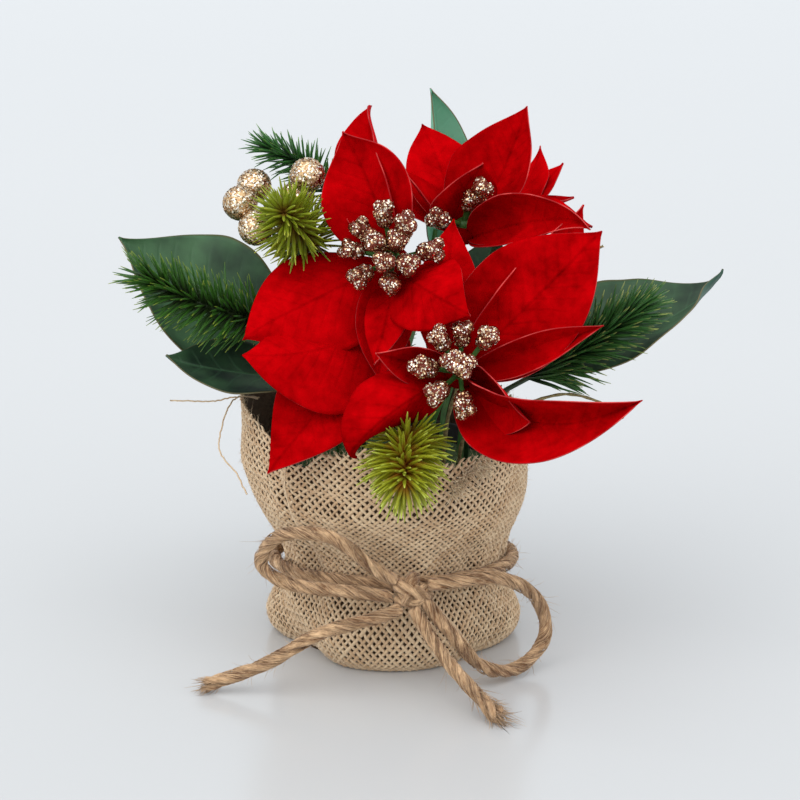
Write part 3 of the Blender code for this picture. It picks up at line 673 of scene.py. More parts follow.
def brush_end(line, ahead, across, over, frayed):
    """The brush of fibres at a frayed end."""
    number = int(190 * frayed)
    angle = twine_draw.uniform(0, 2 * np.pi, number)
    at = len(line) - 1 - twine_draw.integers(0, 1 + int(14 * frayed), number)
    out = way_round(angle, across[-1], over[-1])
    roots = line[at] + out * TWINE * twine_draw.uniform(0.1, 0.55, number)[:, None]
    ways = ahead[-1] + out * twine_draw.uniform(0.05, 0.7, number)[:, None]
    lengths = twine_draw.uniform(3, 4 + 6 * frayed, number) * MM
    return hairs(roots, ways, lengths, 0.16 * MM, 0.3, twine_draw)


def laid_twine(line, closed=False, frayed=0):
    """The twine along a line, and the loose fibres that stand off it."""
    ahead = unit(np.gradient(line, axis=0))
    across = np.zeros_like(line)
    across[0] = unit(np.cross(ahead[0], (0.3, 0.2, 0.9)))
    for k in range(1, len(line)):
        across[k] = unit(across[k - 1] - across[k - 1].dot(ahead[k]) * ahead[k])
    over, reach = np.cross(ahead, across), reach_along(line)
    plies = lay_plies(line, across, over, reach, closed, frayed)
    loose = [stray_hairs(line, ahead, across, over, reach)]
    lying = lying_fibres(line, across, over, reach)
    if frayed:
        loose.append(brush_end(line, ahead, across, over, frayed))
    return [plies, lying], loose


for name, (route, far_end) in BOW.items():
    line = curve_through(np.array(route) * MM, 1.1 * MM)
    line = line[(((line - KNOT) / KNOT_REACH) ** 2).sum(1) >= 0.8]
    plies, loose = laid_twine(line, frayed=FRAYED.get(name, 0))
    cord = piece(name + "_twine", plies, [jute], "jute", name)
    fibres = piece(name + "_fibres", loose, [jute], "jute")
    length = float(reach_along(line)[-1])

round_turn = np.linspace(0, 2 * np.pi, 280)
band_radius = WAIST_RADIUS + TWINE / 2 + 0.3 * MM
band_line = np.stack([
    band_radius * np.cos(round_turn), band_radius * np.sin(round_turn),
    WAIST_HEIGHT - WAIST_TILT * MM * np.sin(round_turn),
], -1)
plies, loose = laid_twine(band_line, closed=True)
piece("waist_twine", plies + loose, [jute], "jute", "twine_band")

KNOT_TURNS = [  # the turns of twine that make the knot, about its middle, in millimetres
    [(-5.2, 1, 1.8), (-3.4, -2.2, 2.4), (1, -3.6, 1.2), (4.6, -2, -1.4), (6.2, 1.2, -3)],
    [(1.6, 1.6, 5.2), (0.2, -1.8, 4.2), (-1.2, -3.2, 0), (-1.4, -2, -3.6), (0.4, 1.4, -5.2)],
    [(-5.8, 0.6, -2.8), (-2, -1.6, -3.4), (2.4, -2.6, -3), (5.4, 0, 2.4)],
]
knot_parts = []
for turn in KNOT_TURNS:
    plies, loose = laid_twine(curve_through(KNOT + np.array(turn) * MM, 0.7 * MM))
    knot_parts += plies + loose
piece("bow_knot_twine", knot_parts, [jute], "jute", "bow_knot")


# Blooms. Each is a whorl of bracts stamped from red velvet cloth, embossed with veins and
# heat-set to a curve, pressed on to a plastic hub. The cut edge shows the pale base cloth.

# A blade's turn round its stem, its rise, length and width, then how its midrib bends, hooks and
# sweeps, how it rolls and twists, and how its two halves fold and cup. Degrees and millimetres.
Blade = namedtuple("Blade", "turn rise length width bend hook sweep roll twist fold cup")
Bloom = namedtuple("Bloom", "name hub facing outer inner")
BLOOMS = [
    Bloom("bloom_left", (1, -22, 161), (-0.15, -0.85, 0.5), [
        Blade(104, 10, 52, 43, -3, -26, -14, 19, -15, 14, 38),
        Blade(106, -5, 70, 34, 6, 47, 13, 14, 26, 22, 56),
        Blade(208, 19, 64, 46, 26, 24, 2, -17, 40, -13, -18),
        Blade(262, 6, 44, 24, 16, 0, 0, 0, 0, 8, 20),
    ], [
        Blade(269, 35, 42, 18, 32, -6, 14, -8, 4, -4, 0),
        Blade(300, 64, 51, 34, 54, 19, -30, -7, -16, -10, -14),
    ]),
    Bloom("bloom_right", (25, -52, 125), (0.07, -0.92, 0.39), [
        Blade(100, -23, 61, 25, -18, -7, 20, 14, -8, 4, 12),
        Blade(44, 12, 73, 48, 5, -8, -2, 8, 10, 8, 16),
        Blade(46, -8, 82, 34, 3, -10, -16, -14, -16, 16, 36),
        Blade(13, 12, 56, 22, -24, 12, -8, -14, 20, 40, 28),
        Blade(207, 54, 63, 36, 94, 113, -21, -10, 73, -27, -51),
    ], [
        Blade(310, 29, 82, 46, -44, 7, -58, -36, -26, 42, 34),
        Blade(325, 42, 39, 28, -10, -16, 12, -28, -30, 14, 40),
        Blade(171, 28, 33, 18, -12, 0, 0, 12, 10, 18, 38),
    ]),
    Bloom("bloom_back", (27, 12, 164), (0.15, -0.15, 0.97), [
        Blade(106, 30, 56, 32, 4, -4, -11, 7, 5, 5, 14),
        Blade(47, 46, 57, 42, -28, -6, -5, 0, 4, 13, 30),
        Blade(43, 9, 62, 28, -30, -18, -30, 16, 16, 0, -10),
        Blade(40, 11, 57, 26, -25, 0, -8, 6, 6, 8, 10),
        Blade(32, 12, 53, 25, 0, 0, -4, 6, 6, 14, 24),
        Blade(354, 28, 50, 40, 22, 21, 0, -16, 22, 6, 15),
        Blade(80, 4, 60, 34, 14, 0, 0, 0, 0, 8, 20),
        Blade(148, 8, 52, 32, 10, 0, 0, 0, 0, 8, 20),
    ], [
        Blade(146, 97, 34, 31, -22, -2, -5, 22, 1, 5, 10),
        Blade(170, 50, 30, 20, 10, 0, 0, 0, 0, 8, 24),
        Blade(324, 38, 62, 31, 21, 36, 13, -68, -3, 25, 54),
    ]),
]
HUB_RADIUS = 5.6 * MM
HUB_HEIGHT = 5 * MM
OUTER_START, INNER_START = 3 * MM, 5.5 * MM  # how far from the middle the bracts begin
BRACT_CLOTH = 0.4 * MM
BLADE_ROWS, BLADE_COLUMNS = 44, 24
COLLAR = np.array((-0.3, -9.6, 140)) * MM
COLLAR_FACING = (-0.1, -0.6, 0.8)
COLLAR_BRACTS = [
    Blade(243, 17, 69, 54, -8, -4, 62, 4, 32, -12, -22),
    Blade(242, 2, 83, 40, 18, -6, 14, 6, 4, 2, 11),
]


def axes_of(facing):
    up = unit(np.array(facing, float))
    right = np.array([1.0, 0, 0])
    right = unit(right - right.dot(up) * up)
    return right, np.cross(up, right), up


def cut_outline(t, middle):
    """Half-width share along a blade whose widest place is at middle."""
    u = t ** (math.log(0.5) / math.log(middle))
    away = np.abs(2 * u - 1)
    return np.where(u < 0.5, (1 - away**2) ** 0.75, (1 - np.minimum(away, 1) ** 2.4) ** 1.25)


def midrib(blade, root, facing, start):
    """The line of a blade's midrib with the directions along, beside and above it."""
    right, over, up = axes_of(facing)
    turn, rise = math.radians(blade.turn), math.radians(blade.rise)
    radial = way_round(turn, right, over)
    ahead, normal = way_round(rise, radial, up), way_round(rise, up, -radial)
    beside = np.cross(ahead, normal)
    t = np.linspace(0, 1, BLADE_ROWS + 1)[:, None]
    hook = np.clip((t - 0.7) / 0.3, 0, None) ** 2
    pitch = np.radians(blade.bend * t + blade.hook * hook)
    yaw = np.radians(blade.sweep * t)
    along = np.cos(yaw) * (np.cos(pitch) * ahead - np.sin(pitch) * normal) + np.sin(yaw) * beside
    lifted = np.sin(pitch) * ahead + np.cos(pitch) * normal
    side = unit(np.cross(along, lifted))
    lifted = np.cross(side, along)
    roll = np.radians(blade.roll + blade.twist * t)
    steps = np.vstack([np.zeros(3), along[:-1]]) * blade.length * MM / BLADE_ROWS
    points = np.asarray(root) + start * radial + np.cumsum(steps, 0)
    return (
        points, along,
        np.cos(roll) * side + np.sin(roll) * lifted,
        np.cos(roll) * lifted - np.sin(roll) * side,
    )


def blade_part(blade, root, facing, start, middle, neck, draw, ripple=0.5):
    """One blade as a fine sheet, which carries where on the blade each point lies."""
    rows, columns = BLADE_ROWS, BLADE_COLUMNS
    points, along, side, up = midrib(blade, root, facing, start)
    t = neck + (1 - neck) * np.linspace(0, 1, rows + 1)
    half = np.maximum(blade.width * MM / 2 * cut_outline(np.minimum(t, 1), middle), 0.12 * MM)
    u = np.linspace(-1, 1, columns + 1)[None, :]
    off = np.sqrt(u**2 + 0.0016) - 0.04
    angle = np.radians(blade.fold + blade.cup * off / 2)
    along_mm = np.linspace(0, blade.length, rows + 1)[:, None]
    phases = draw.uniform(0, 6.3, 4)
    wave = np.sin(along_mm / 5.2 + phases[0] + 1.3 * np.sign(u))
    wave = wave + 0.6 * np.sin(along_mm / 2.9 + phases[1] - np.sign(u))
    lift = ripple * MM * wave * np.abs(u) ** 2.5 * np.sin(np.pi * t[:, None]) ** 0.6
    lift = lift + 0.35 * MM * np.sin(along_mm / 8 + phases[2]) * np.sin(u * 4 + phases[3])
    aside = (u * np.cos(angle))[..., None] * side[:, None]
    raised = (off * np.sin(angle))[..., None] * up[:, None]
    grid = points[:, None] + half[:, None, None] * (aside + raised) + lift[..., None] * up[:, None]
    k, j = np.meshgrid(np.arange(rows), np.arange(columns), indexing="ij")
    a = k * (columns + 1) + j
    faces = np.stack([a, a + 1, a + columns + 2, a + columns + 1], -1).reshape(-1, 4)
    across, margin, share = u * half[:, None] / MM, np.abs(u), t[:, None]
    values = {"along": along_mm, "across": across, "margin": margin, "share": share}
    values = {key: np.broadcast_to(v, grid.shape[:2]).ravel() for key, v in values.items()}
    return grid.reshape(-1, 3), faces, {**values, "tint": draw.uniform(0, 1)}, 0


def vein_lines(w, apart, slant, fine):
    """1 on the midrib and on the side veins that leave it slantwise, 0 between them."""
    along, across = w.value("along"), w.value("across")
    away = w.maths("ABSOLUTE", across)
    bowed = along - away * slant + away * away * 0.012 + w.noise(90, 2) * 3
    saw = w.maths("PINGPONG", bowed, apart / 2)
    side = 1 - saw.between(0, fine * 1.8)
    rib = 1 - away.between(0.05, fine * 1.6)
    fade = 1 - w.value("margin").between(0.4, 0.9)
    return rib, side * fade


def velvet_paint(deep, bright):
    def paint(w):
        rib, side = vein_lines(w, 6.4, 1.05, 0.6)
        pile = w.noise(4200, 2)
        patch = w.noise(70, 4, rough=0.6)
        crushed = w.noise(230, 3)
        # Painted shade: each bract is painted darker towards its root, where the middle of the
        # bloom lies in shade.
        painted_root_shade = w.value("share").between(0, 0.5) * 0.6 + 0.4
        light = patch * 1.2 + crushed * 0.6 + pile * 0.3 - 0.62 + w.value("tint") * 0.24
        # Painted shade: the colour is darker along the sunken midrib and side veins.
        base = (light * painted_root_shade - rib * 0.14 - side * 0.07).tint(deep, bright)
        height = patch * 0.8 + crushed * 0.5 + pile * 0.1 - rib * 0.55 - side * 0.3
        return {"Base Color": base, "Normal": w.bump(height, 0.5 * MM, 0.8)}

    return paint


velvet = finish(
    "red_velvet", velvet_paint((0.13, 0, 0.0003), (0.66, 0.0006, 0.003)),
    roughness=0.9, sheen_weight=0.04, sheen_roughness=0.3, sheen_tint=(1, 0.02, 0.03, 1),
    specular_ior_level=0.0,
)
velvet_back = finish(
    "velvet_underside", velvet_paint((0.24, 0.0006, 0.002), (0.66, 0.005, 0.011)),
    roughness=0.85, sheen_weight=0.06, sheen_roughness=0.3, sheen_tint=(1, 0.1, 0.1, 1),
    specular_ior_level=0.02,
)


def edge_paint(w):
    """Red, and pinker where the dye is worn off the edge."""
    bare = w.noise(90, 4).between(0.46, 0.62)
    return {"Base Color": bare.tint((0.34, 0.002, 0.004), (0.66, 0.06, 0.055))}


cut_edge = finish("cut_cloth_edge", edge_paint, roughness=0.9)


def drum(centre, axis, radius, height, bulge, tint, number):
    """A short round boss with a domed face, as one part."""
    right, over, up = axes_of(axis)
    rings = np.array([
        (0.02, -0.5), (0.9, -0.5), (1, -0.35), (1, 0.3), (0.85, 0.5), (0.5, 0.5 + bulge),
        (0.02, 0.5 + 1.3 * bulge),
    ])
    turn = 2 * np.pi * np.arange(20) / 20
    spokes = way_round(turn, right, over)
    points = centre + (rings[:, None, :1] * radius) * spokes + rings[:, None, 1:] * height * up
    return points.reshape(-1, 3), ring_faces(len(rings), 20), {"tint": tint}, number


def thickened(obj, thickness):
    sheet = obj.modifiers.new("cloth", "SOLIDIFY")
    sheet.thickness = thickness
    sheet.offset = 0
    sheet.material_offset = 1
    sheet.material_offset_rim = 2
    return obj


bract_draw = np.random.default_rng(21)


def bract(blade, root, facing, start):
    return blade_part(blade, root, facing, start, 0.44, 0.02, bract_draw)


for bloom in BLOOMS:
    hub, up = np.array(bloom.hub) * MM, unit(np.array(bloom.facing))
    low_hub = hub - up * 0.4 * MM
    parts = [bract(blade, low_hub, bloom.facing, OUTER_START) for blade in bloom.outer]
    parts += [bract(blade, hub, bloom.facing, INNER_START) for blade in bloom.inner]
    if bloom.name == "bloom_left":
        parts += [bract(blade, COLLAR, COLLAR_FACING, OUTER_START) for blade in COLLAR_BRACTS]
    bracts = put_together(bloom.name + "_cloth", parts, [velvet, velvet_back, cut_edge])
    belongs(thickened(bracts, BRACT_CLOTH), "red_bract", bloom.name + "_bracts")
    boss = drum(hub, bloom.facing, HUB_RADIUS, HUB_HEIGHT, 0.2, 0.2, 0)
    piece(bloom.name + "_hub", [boss], [velvet], "red_bract")


# Stems and buds. A green plastic stem carries each hub, and the flower at its middle is a bunch
# of moulded red-brown buds on green stalks, dipped in glue and coarse gold and silver glitter.

BUD_ROOM = 1.3  # how much of its own radius a bud keeps clear
BUD_FLECKS = 1250
# A bud that would touch a bract is bent aside, and if need be made shorter.
BUD_TRIES = [(bend, cut) for cut in (1, 0.8, 0.64) for bend in (0, -8, 8, -16, 16, -24, -32)]
BUD_COUNTS = {"bloom_left": 11, "bloom_right": 11, "bloom_back": 9}


stem_paint = grained((0.02, 0.085, 0.015), (0.07, 0.2, 0.035), (420, 3), (1400, 2, 0.08))
stem_green = finish("stem_green", stem_paint, roughness=0.5)
for bloom in BLOOMS:
    dress(bloom.name + "_stem", stem_green)


def glitter_paint(*stops):
    def paint(w):
        fleck = w.value("tint")
        colour = w.node("ValToRGB", {"Fac": fleck}, 0, stops)
        return {"Base Color": colour, "Roughness": fleck * 0.22 + 0.12}

    return paint


bud_paint = grained((0.05, 0.006, 0.003), (0.24, 0.035, 0.015), (900, 3), (900, 3, 0.15))
bud_skin = finish("bud_skin", bud_paint, roughness=0.5, specular_ior_level=0.25)
glitter = finish("gold_glitter", glitter_paint(
    (0, (0.2, 0.075, 0.035)), (0.3, (0.68, 0.43, 0.22)), (0.62, (0.95, 0.82, 0.6)),
    (1, (1, 0.98, 0.93)),
), metallic=1.0)


def tree_of(objects):
    """The surfaces of these objects as one tree, in which touches are looked for."""
    corners, sides = [], []
    for mesh in (obj.data for obj in objects):
        sides += [[v + len(corners) for v in p.vertices] for p in mesh.polygons]
        corners += [v.co for v in mesh.vertices]
    return BVHTree.FromPolygons(corners, sides)


def clear_of(trees, base, tip, distance):
    """Whether the line keeps that distance from every surface."""
    base, way = Vector(base), Vector(tip) - Vector(base)
    for tree in trees:
        if tree.ray_cast(base, way.normalized(), way.length)[0] is not None:
            return False
        for share in (0.15, 0.3, 0.45, 0.6, 0.8, 1.0):
            if tree.find_nearest(base + way * share, distance)[0] is not None:
                return False
    return True


def bud_places(count, seed):
    """(turn, lean, reach, radius) of each bud: a ring of outer ones and a few in the middle."""
    draw = random.Random(seed)
    inner = count // 3
    found = []
    for i in range(count):
        outer = i < count - inner
        turn = 360 * i / (count - inner) if outer else 30 + 360 * i / inner
        tilt = draw.uniform(50, 62) if outer else draw.uniform(16, 26)
        reach = draw.uniform(15.5, 19) if outer else draw.uniform(13, 15.5)
        found.append((turn + draw.uniform(-8, 8), tilt, reach, draw.uniform(3.7, 4.3)))
    return found


def bead(centre, radius, rings=9, sides=14):
    """A round lobe as one part."""
    polar = np.pi * np.linspace(0.02, 0.98, rings)[:, None]
    turn = 2 * np.pi * np.arange(sides)[None, :] / sides
    grid = np.stack([
        np.sin(polar) * np.cos(turn), np.sin(polar) * np.sin(turn), np.cos(polar) + 0 * turn,
    ], -1)
    faces = ring_faces(rings, sides)[:, ::-1]
    return centre + radius * grid.reshape(-1, 3), faces, {"tint": 0.5}, 0


def flecks(points, outward, sizes, tilt, draw):
    """Six-sided flecks of glitter, stuck on at slightly different tilts."""
    count = len(points)
    out = unit(outward + draw.normal(0, tilt, (count, 3)))
    side = unit(np.cross(out, draw.normal(size=(count, 3))))
    over = np.cross(out, side)
    turn = np.arange(6) / 3 * np.pi
    ring = side[:, None] * np.cos(turn)[:, None] + over[:, None] * np.sin(turn)[:, None]
    corners = points[:, None] + ring * np.asarray(sizes)[:, None, None]
    faces = np.arange(count * 6).reshape(-1, 6)
    return corners.reshape(-1, 3), faces, {"tint": np.repeat(draw.uniform(0, 1, count), 6)}, 1


def on_lobes(lobes, number, draw):
    """Even random points on the outside of overlapping round lobes, and their way out."""
    centres = np.array([centre for centre, _ in lobes])
    radii = np.array([radius for _, radius in lobes])
    pick = draw.choice(len(lobes), number, p=radii**2 / (radii**2).sum())
    out = unit(draw.normal(size=(number, 3)))
    points = centres[pick] + out * radii[pick, None] * 1.02
    away = np.linalg.norm(points[:, None] - centres[None], axis=2)
    outside = (away > radii[None] * 0.99).all(1)
    return points[outside], out[outside]


def bud_lobes(top, way, radius, draw):
    """The lobes of one bud: a body with a bunch of small round knobs at its end."""
    side = unit(np.cross(way, (0.3, 0.5, 0.8)))
    over = np.cross(way, side)
    lobes = [(top - way * radius * 0.42, radius * 0.78), (top + way * radius * 0.25, radius * 0.8)]
    first = draw.uniform(0, 6.3)
    for i in range(3):
        turn = first + 2 * np.pi * i / 3 + draw.uniform(-0.3, 0.3)
        out = way_round(turn, side, over)
        up = radius * draw.uniform(0.35, 0.85)
        lobes.append((top + way * up + out * radius * 0.5, radius * draw.uniform(0.5, 0.62)))
    return lobes


bract_trees = [tree_of([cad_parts[bloom.name + "_bracts"]]) for bloom in BLOOMS]
for number, bloom in enumerate(BLOOMS):
    bud_draw = np.random.default_rng(40 + number)
    right, over, up = axes_of(bloom.facing)
    foot = np.array(bloom.hub) * MM + up * (HUB_HEIGHT / 2 + 0.3 * MM)
    root = foot + up * 1.5 * MM
    parts = [drum(root, bloom.facing, 2.8 * MM, 3 * MM, 0.3, 0.3, 2)]
    for turn, tilt, reach, radius in bud_places(BUD_COUNTS[bloom.name], bloom.name):
        for bend, cut in BUD_TRIES:
            out = way_round(math.radians(turn), right, over)
            way = way_round(math.radians(tilt + bend), up, out)
            top = root + way * reach * cut * MM
            size = radius * cut * MM
            room = BUD_ROOM * size + 0.5 * MM
            touched = [t for t in bract_trees if t.find_nearest(Vector(top), room)[0] is not None]
            if touched or not clear_of(bract_trees, root, top, 1.3 * MM):
                continue
            line = np.linspace(0, 1, 6)[:, None] * (top - root) * 0.85 + root
            parts.append(tube(line, 0.95 * MM, out, 8, 2))
            lobes = bud_lobes(top, way, size * 1.12, bud_draw)
            parts += [bead(centre, lobe) for centre, lobe in lobes]
            points, outs = on_lobes(lobes, BUD_FLECKS, bud_draw)
            sizes = bud_draw.uniform(0.15, 0.44, len(points)) * MM
            parts.append(flecks(points, outs, sizes, 0.28, bud_draw))
            break
    finishes = [bud_skin, glitter, stem_green]
    piece(bloom.name + "_flower", parts, finishes, "gold_glitter", bloom.name + "_buds")


# Leaves. Each is stamped from dark green satin cloth backed with plastic, embossed with veins
# and trimmed with a hot knife that leaves a thin olive edge, on a covered wire.

Leaf = namedtuple("Leaf", "name hole root facing blade")
LEAVES = [
    Leaf("leaf_left_upper", (-22, 10), (-44.6, 16, 118.6), (-0.1, -0.8, 0.6),
         Blade(165, 14, 79, 62, -15, -16, 28, 6, -40, 12, 24)),
    Leaf("leaf_left_lower", (-27, -12), (-36, -14, 112), (-0.2, -0.5, 0.85),
         Blade(183, 17, 55, 30, -18, -28, 0, -6, 12, 8, 16)),
    Leaf("leaf_right", (27, 2), (56, -2, 120), (0.1, -0.75, 0.65),
         Blade(0, 5, 86, 54, -12, -70, -42, 4, 50, 14, 22)),
    Leaf("leaf_top", (2, 26), (17, 80, 144), (-0.1, -0.98, 0.2),
         Blade(83, 5, 67, 32, -14, -13, -14, -24, -28, 26, 48)),
    Leaf("leaf_back_left", (-14, 24), (-22, 44, 128), (-0.3, 0.5, 0.8),
         Blade(128, 6, 70, 40, 14, 0, 0, 0, 0, 8, 14)),
    Leaf("leaf_back_right", (20, 22), (25, 38, 96), (0.1, -0.97, 0.25),
         Blade(75, 6, 64, 42, -8, 0, 0, 0, 0, 12, 20)),
]
# Painted light and shade: the upper left leaf is painted lighter, as if lit, and the lower left one
# darker, as if shaded.
LEAF_PAINTED_LIGHT = {"leaf_left_upper": 0.6, "leaf_left_lower": 0.08}  # the others are between
HOLE_FLOOR = 50 * MM
FOAM_TOP = 71 * MM
STEM_RADIUS = 1.2 * MM
STEM_FACE = (0.3, -0.9, 0.1)  # the side on which a stem's rings begin
LEAF_CLOTH = 0.5 * MM


def stem_path(hole, end, arriving, nod=0.5):
    """Straight up out of the foam, then in one bend to its end."""
    foot = np.array([hole[0] * MM, hole[1] * MM, HOLE_FLOOR + 0.5 * MM])
    out = np.array([foot[0], foot[1], FOAM_TOP + 2 * MM])
    reach = np.linalg.norm(end - out)
    rising = out + np.array([0, 0, reach / 2])
    last = end - unit(arriving) * reach * nod
    t = np.linspace(0, 1, 25)[:, None]
    u = 1 - t
    bend = u**3 * out + 3 * u * u * t * rising + 3 * u * t * t * last + t**3 * end
    return np.vstack([foot, bend])


def satin_paint(deep, bright, vein):
    def paint(w):
        rib, side = vein_lines(w, 8.2, 0.9, 0.6)
        weave = w.noise(3800, 2)
        patch = w.noise(60, 3)
        # A leaf's tint sets how light or dark it is painted, as painted light and shade.
        base = (patch * 1.7 + weave * 0.15 + w.value("tint") * 0.7 - 0.82).tint(deep, bright)
        edge = w.value("margin").between(0.965, 0.99)
        shown = (rib * 0.45 + side * 0.16).tint(base, vein)
        height = weave * 0.05 - rib * 0.7 - side * 0.3
        return {
            "Base Color": edge.tint(shown, (0.09, 0.09, 0.03)),
            "Roughness": weave * 0.15 + 0.42,
            "Normal": w.bump(height, 0.5 * MM, 0.8),
        }

    return paint


satin = finish(
    "leaf_satin", satin_paint((0.002, 0.014, 0.006), (0.064, 0.165, 0.066), (0.06, 0.16, 0.07)),
    specular_ior_level=0.32,
)
pale_satin = finish(
    "pale_leaf_satin", satin_paint((0.1, 0.34, 0.2), (0.24, 0.52, 0.36), (0.2, 0.5, 0.33)),
    specular_ior_level=0.3,
)
satin_back = finish(
    "leaf_underside", satin_paint((0.02, 0.065, 0.045), (0.05, 0.13, 0.085), (0.06, 0.15, 0.1)),
    specular_ior_level=0.35,
)


def leaf_edge_paint(w):
    return {"Base Color": w.noise(1500, 2).tint((0.07, 0.07, 0.03), (0.2, 0.16, 0.07))}


leaf_edge = finish("leaf_cut_edge", leaf_edge_paint, roughness=0.7)
leaf_draw = np.random.default_rng(31)
for leaf in LEAVES:
    root = np.array(leaf.root) * MM
    blade_points = blade_part(leaf.blade, root, leaf.facing, 0, 0.46, 0.03, leaf_draw, 0.35)
    blade_points[2]["tint"] = LEAF_PAINTED_LIGHT.get(leaf.name, 0.42)
    faces = [pale_satin, pale_satin] if leaf.name == "leaf_top" else [satin, satin_back]
    blade_obj = put_together(leaf.name + "_cloth", [blade_points], [*faces, leaf_edge])
    belongs(thickened(blade_obj, LEAF_CLOTH), "leaf_green", leaf.name)
    arriving = midrib(leaf.blade, root, leaf.facing, 0)[1][0]
    path = stem_path(leaf.hole, root + arriving * 6 * MM, arriving)
    wire = tube(path, STEM_RADIUS, STEM_FACE, 10)
    piece(leaf.name + "_wire", [wire], [stem_green], "leaf_green")


# Berries and twigs. The berries are foam balls rolled in gold glitter, wired to one pick. Two
# thin twigs of moulded bark stand among the leaves, and one of them is brushed with glitter.

BERRY_HOLE = (-16, 4)
BERRY_FORK = np.array((-38, 6, 158)) * MM
BERRY_RADIUS = 6.8 * MM
BERRY_FLECKS, TWIG_FLECKS = 1500, 520
BERRIES = [(-33, -6, 191.5), (-59.4, -4, 180), (-54.6, 9, 184), (-53, -12, 172), (-38, 10, 179)]


berry_paint = grained((0.36, 0.2, 0.08), (0.8, 0.56, 0.3), (1500, 3), (1500, 3, 0.2))
berry_skin = finish("berry_skin", berry_paint, roughness=0.4, metallic=0.7)
berry_draw = np.random.default_rng(51)
path = stem_path(BERRY_HOLE, BERRY_FORK, np.array((-0.5, 0.1, 1)))
berry_parts = [tube(path, STEM_RADIUS, STEM_FACE, 8, 2)]
for centre in BERRIES:
    middle = np.array(centre) * MM
    sag = BERRY_FORK + 0.55 * (middle - BERRY_FORK) - np.array((0, 0, MM))
    line = curve_through([BERRY_FORK, sag, middle], 2 * MM)
    berry_parts.append(tube(line, 0.8 * MM, STEM_FACE, 6, 2))
    berry_parts.append(bead(middle, BERRY_RADIUS * 0.98, 20, 28))
    outs = unit(berry_draw.normal(size=(BERRY_FLECKS, 3)))
    sizes = berry_draw.uniform(0.22, 0.5, BERRY_FLECKS) * MM
    berry_parts.append(flecks(middle + outs * BERRY_RADIUS, outs, sizes, 0.2, berry_draw))
finishes = [berry_skin, glitter, stem_green]
piece("glitter_berries", berry_parts, finishes, "gold_glitter", "berry_pick")

TWIGS = {  # where each stands in the foam, and its branches, in millimetres
    "twig_glitter": ((20, -14), [
        [(30, -24, 132), (33, -25, 150), (35.4, -26, 160), (43.9, -26, 166.4), (50.5, -26, 166.6),
         (60, -25, 169.4)],
        [(34.6, -24, 158), (50, -20, 158), (68, -15, 160), (81.6, -12, 164.8)],
    ]),
    "twig_dry": ((26, -18), [[(48, -26, 104), (66, -26, 109), (80, -26, 106), (90, -25, 99)]]),
}


def bark_paint(w):
    grain = w.noise(520, 4, rough=0.65)
    base = grain.between(0.3, 0.7).tint((0.09, 0.07, 0.02), (0.36, 0.3, 0.13))
    return {"Base Color": base, "Normal": w.bump(grain, 0.3 * MM)}


twig_finishes = [finish("twig_bark", bark_paint, roughness=0.75), glitter]
twig_draw = np.random.default_rng(61)
for name, (hole, branches) in TWIGS.items():
    parts = []
    for i, branch in enumerate(branches):
        line = curve_through(np.array(branch) * MM, 1 * MM)
        if i == 0:
            line = np.vstack([stem_path(hole, line[0], line[1] - line[0])[:-1], line])
        taper = 1 - 0.45 * np.arange(len(line)) / (len(line) - 1)
        knots = 1 + 0.14 * np.sin(np.arange(len(line)) * 1.1)
        knots = knots + twig_draw.uniform(-0.1, 0.1, len(line))
        parts.append(tube(line, 0.85 * MM * taper * knots, (0.1, -0.9, 0.3), 7))
        if name == "twig_glitter":
            at = twig_draw.integers(len(line) // 2 if i == 0 else 0, len(line), TWIG_FLECKS)
            outs = unit(twig_draw.normal(size=(TWIG_FLECKS, 3)))
            sizes = twig_draw.uniform(0.14, 0.34, TWIG_FLECKS) * MM
            spots = line[at] + outs * 0.8 * MM * taper[at, None]
            parts.append(flecks(spots, outs, sizes, 0.3, twig_draw))
    piece(name + "_branches", parts, twig_finishes, "twig_bark", name)


# Fir sprigs. Soft moulded plastic needles stand all round a wired stem. Some sprigs are dark
# green with paler ends, and others yellow-green with brown at the roots of the needles.

Sprig = namedtuple("Sprig", "name hole route needles length lean thick")
SPRIGS = [
    Sprig("sprig_left", (-31, -2), [(-50, -12, 134), (-75, -22, 144.6), (-94, -30, 156.6)],
          300, 19, 58, 0.56),
    Sprig("sprig_facing", (-22, 14), [(-31, 4, 161), (-37, -16, 173), (-41, -38, 184)],
          250, 20, 60, 0.7),
    Sprig("sprig_top", (-12, 14), [(-22, 18, 176), (-35, 18, 190), (-50, 17, 198)],
          190, 14, 55, 0.5),
    Sprig("sprig_front", (8, -31), [(6, -46, 100), (5, -64, 99), (4.6, -86, 94.6)],
          300, 21, 62, 0.8),
    Sprig("sprig_right", (29, -9), [(52, -22, 114), (72, -21, 125), (95, -20, 141)],
          340, 21, 47, 0.62),
    Sprig("sprig_back", (-4, 33), [(-4, 42, 103), (-5, 62, 115), (-7, 84, 128)],
          260, 17, 56, 0.6),
]
NEEDLE_COLOURS = {  # at the root of a needle, along it and at its tip
    "sprig_left": ((0.014, 0.03, 0.004), (0.034, 0.125, 0.01), (0.36, 0.44, 0.05)),
    "sprig_facing": ((0.17, 0.075, 0.008), (0.24, 0.3, 0.012), (0.66, 0.66, 0.1)),
    "sprig_top": ((0.01, 0.035, 0.008), (0.03, 0.14, 0.02), (0.2, 0.36, 0.05)),
    "sprig_front": ((0.36, 0.1, 0.01), (0.3, 0.32, 0.012), (0.66, 0.78, 0.13)),
    "sprig_right": ((0.01, 0.035, 0.008), (0.03, 0.12, 0.02), (0.42, 0.46, 0.12)),
    "sprig_back": ((0.01, 0.03, 0.008), (0.025, 0.1, 0.016), (0.2, 0.32, 0.04)),
}


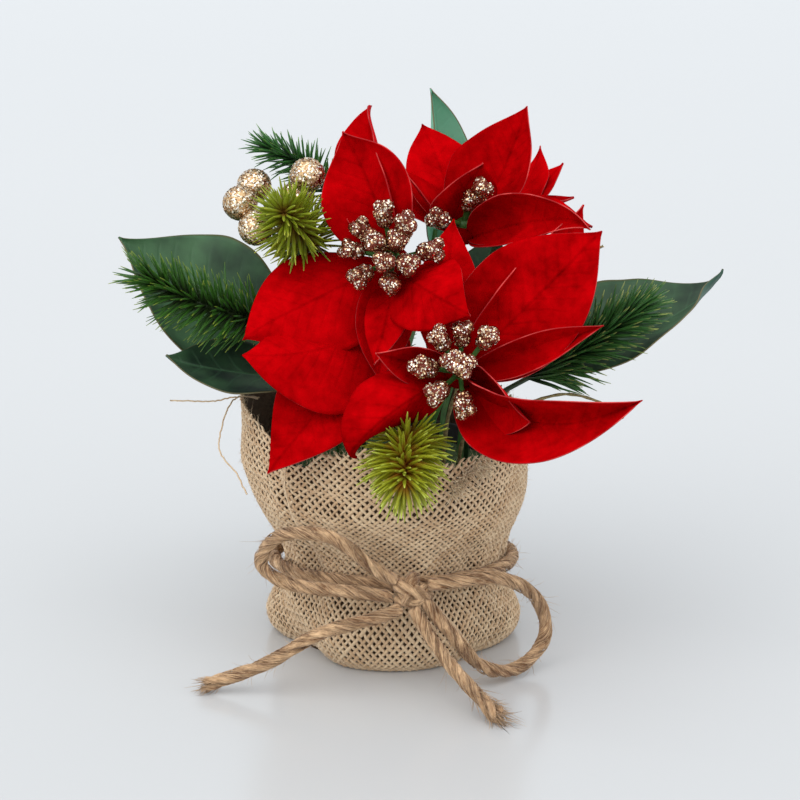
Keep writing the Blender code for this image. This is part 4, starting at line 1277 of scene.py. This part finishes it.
def needle_paint(root, body, tip):
    def paint(w):
        share = w.value("share") + w.value("tint") * 0.2 - 0.1
        stops = [(0.1, root), (0.5, body), (0.76, body), (1, tip)]
        colour = w.node("ValToRGB", {"Fac": share}, 0, stops)
        return {"Base Color": colour, "Normal": w.bump(w.noise(1100, 2), 0.08 * MM)}

    return paint


solid_tree = tree_of([
    obj for name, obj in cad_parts.items() if name != "foam" and not name.startswith("sprig")
])
for number, sprig in enumerate(SPRIGS):
    needle_draw = np.random.default_rng(70 + number)
    line = curve_through(np.array(sprig.route) * MM, 0.5 * MM)
    path = stem_path(sprig.hole, line[0], line[1] - line[0])
    parts = [tube(np.vstack([path[:-1], line]), 1 * MM, (0.1, -0.8, 0.4), 8, share=0.1)]
    ways, roots, lengths = [], [], []
    for i in range(sprig.needles):
        share = (i + 0.5) / sprig.needles
        at = share * (len(line) - 2)
        k = int(at)
        root = line[k] + (line[k + 1] - line[k]) * (at - k)
        ahead = unit(line[k + 1] - line[k])
        side = unit(np.cross(ahead, (0.2, 0.1, 1)))
        over = np.cross(ahead, side)
        turn = math.radians(137.5 * i + needle_draw.uniform(-14, 14))
        tilt = math.radians(sprig.lean * (1 - 0.6 * share**3) + needle_draw.uniform(-9, 9))
        way = way_round(tilt, ahead, way_round(turn, side, over))
        length = sprig.length * MM * needle_draw.uniform(0.82, 1.04) * (1 - 0.2 * share**4)
        for cut in (1, 0.8, 0.6, 0.42):
            if clear_of([solid_tree], root + way * 1.2 * MM, root + way * length * cut, 0.7 * MM):
                ways.append(way)
                roots.append(root)
                lengths.append(length * cut)
                break
    ways, roots, lengths = np.array(ways), np.array(roots), np.array(lengths)
    t = np.linspace(0, 1, 6)
    curl = needle_draw.normal(0, 0.05, ways.shape) + np.array([0, 0, -0.03])
    needles = roots[:, None] + lengths[:, None, None] * (
        ways[:, None] * t[None, :, None] + curl[:, None] * (t * t)[None, :, None]
    )
    shape = np.array([0.75, 1, 1, 0.9, 0.68, 0.2]) * sprig.thick * MM
    points, faces, values = strands(needles, shape, (0.15, 0.2, 1), 5, 0.8)
    values["share"] = np.tile(np.repeat(t, 5), len(roots))
    values["tint"] = spread(needle_draw.uniform(-0.5, 0.5, len(roots)), len(roots), len(points))
    parts.append((points, faces, values, 0))
    paint = needle_paint(*NEEDLE_COLOURS[sprig.name])
    needle_finish = finish(sprig.name + "_needles", paint, roughness=0.42)
    piece(sprig.name + "_plastic", parts, [needle_finish], "fir_needles", sprig.name)
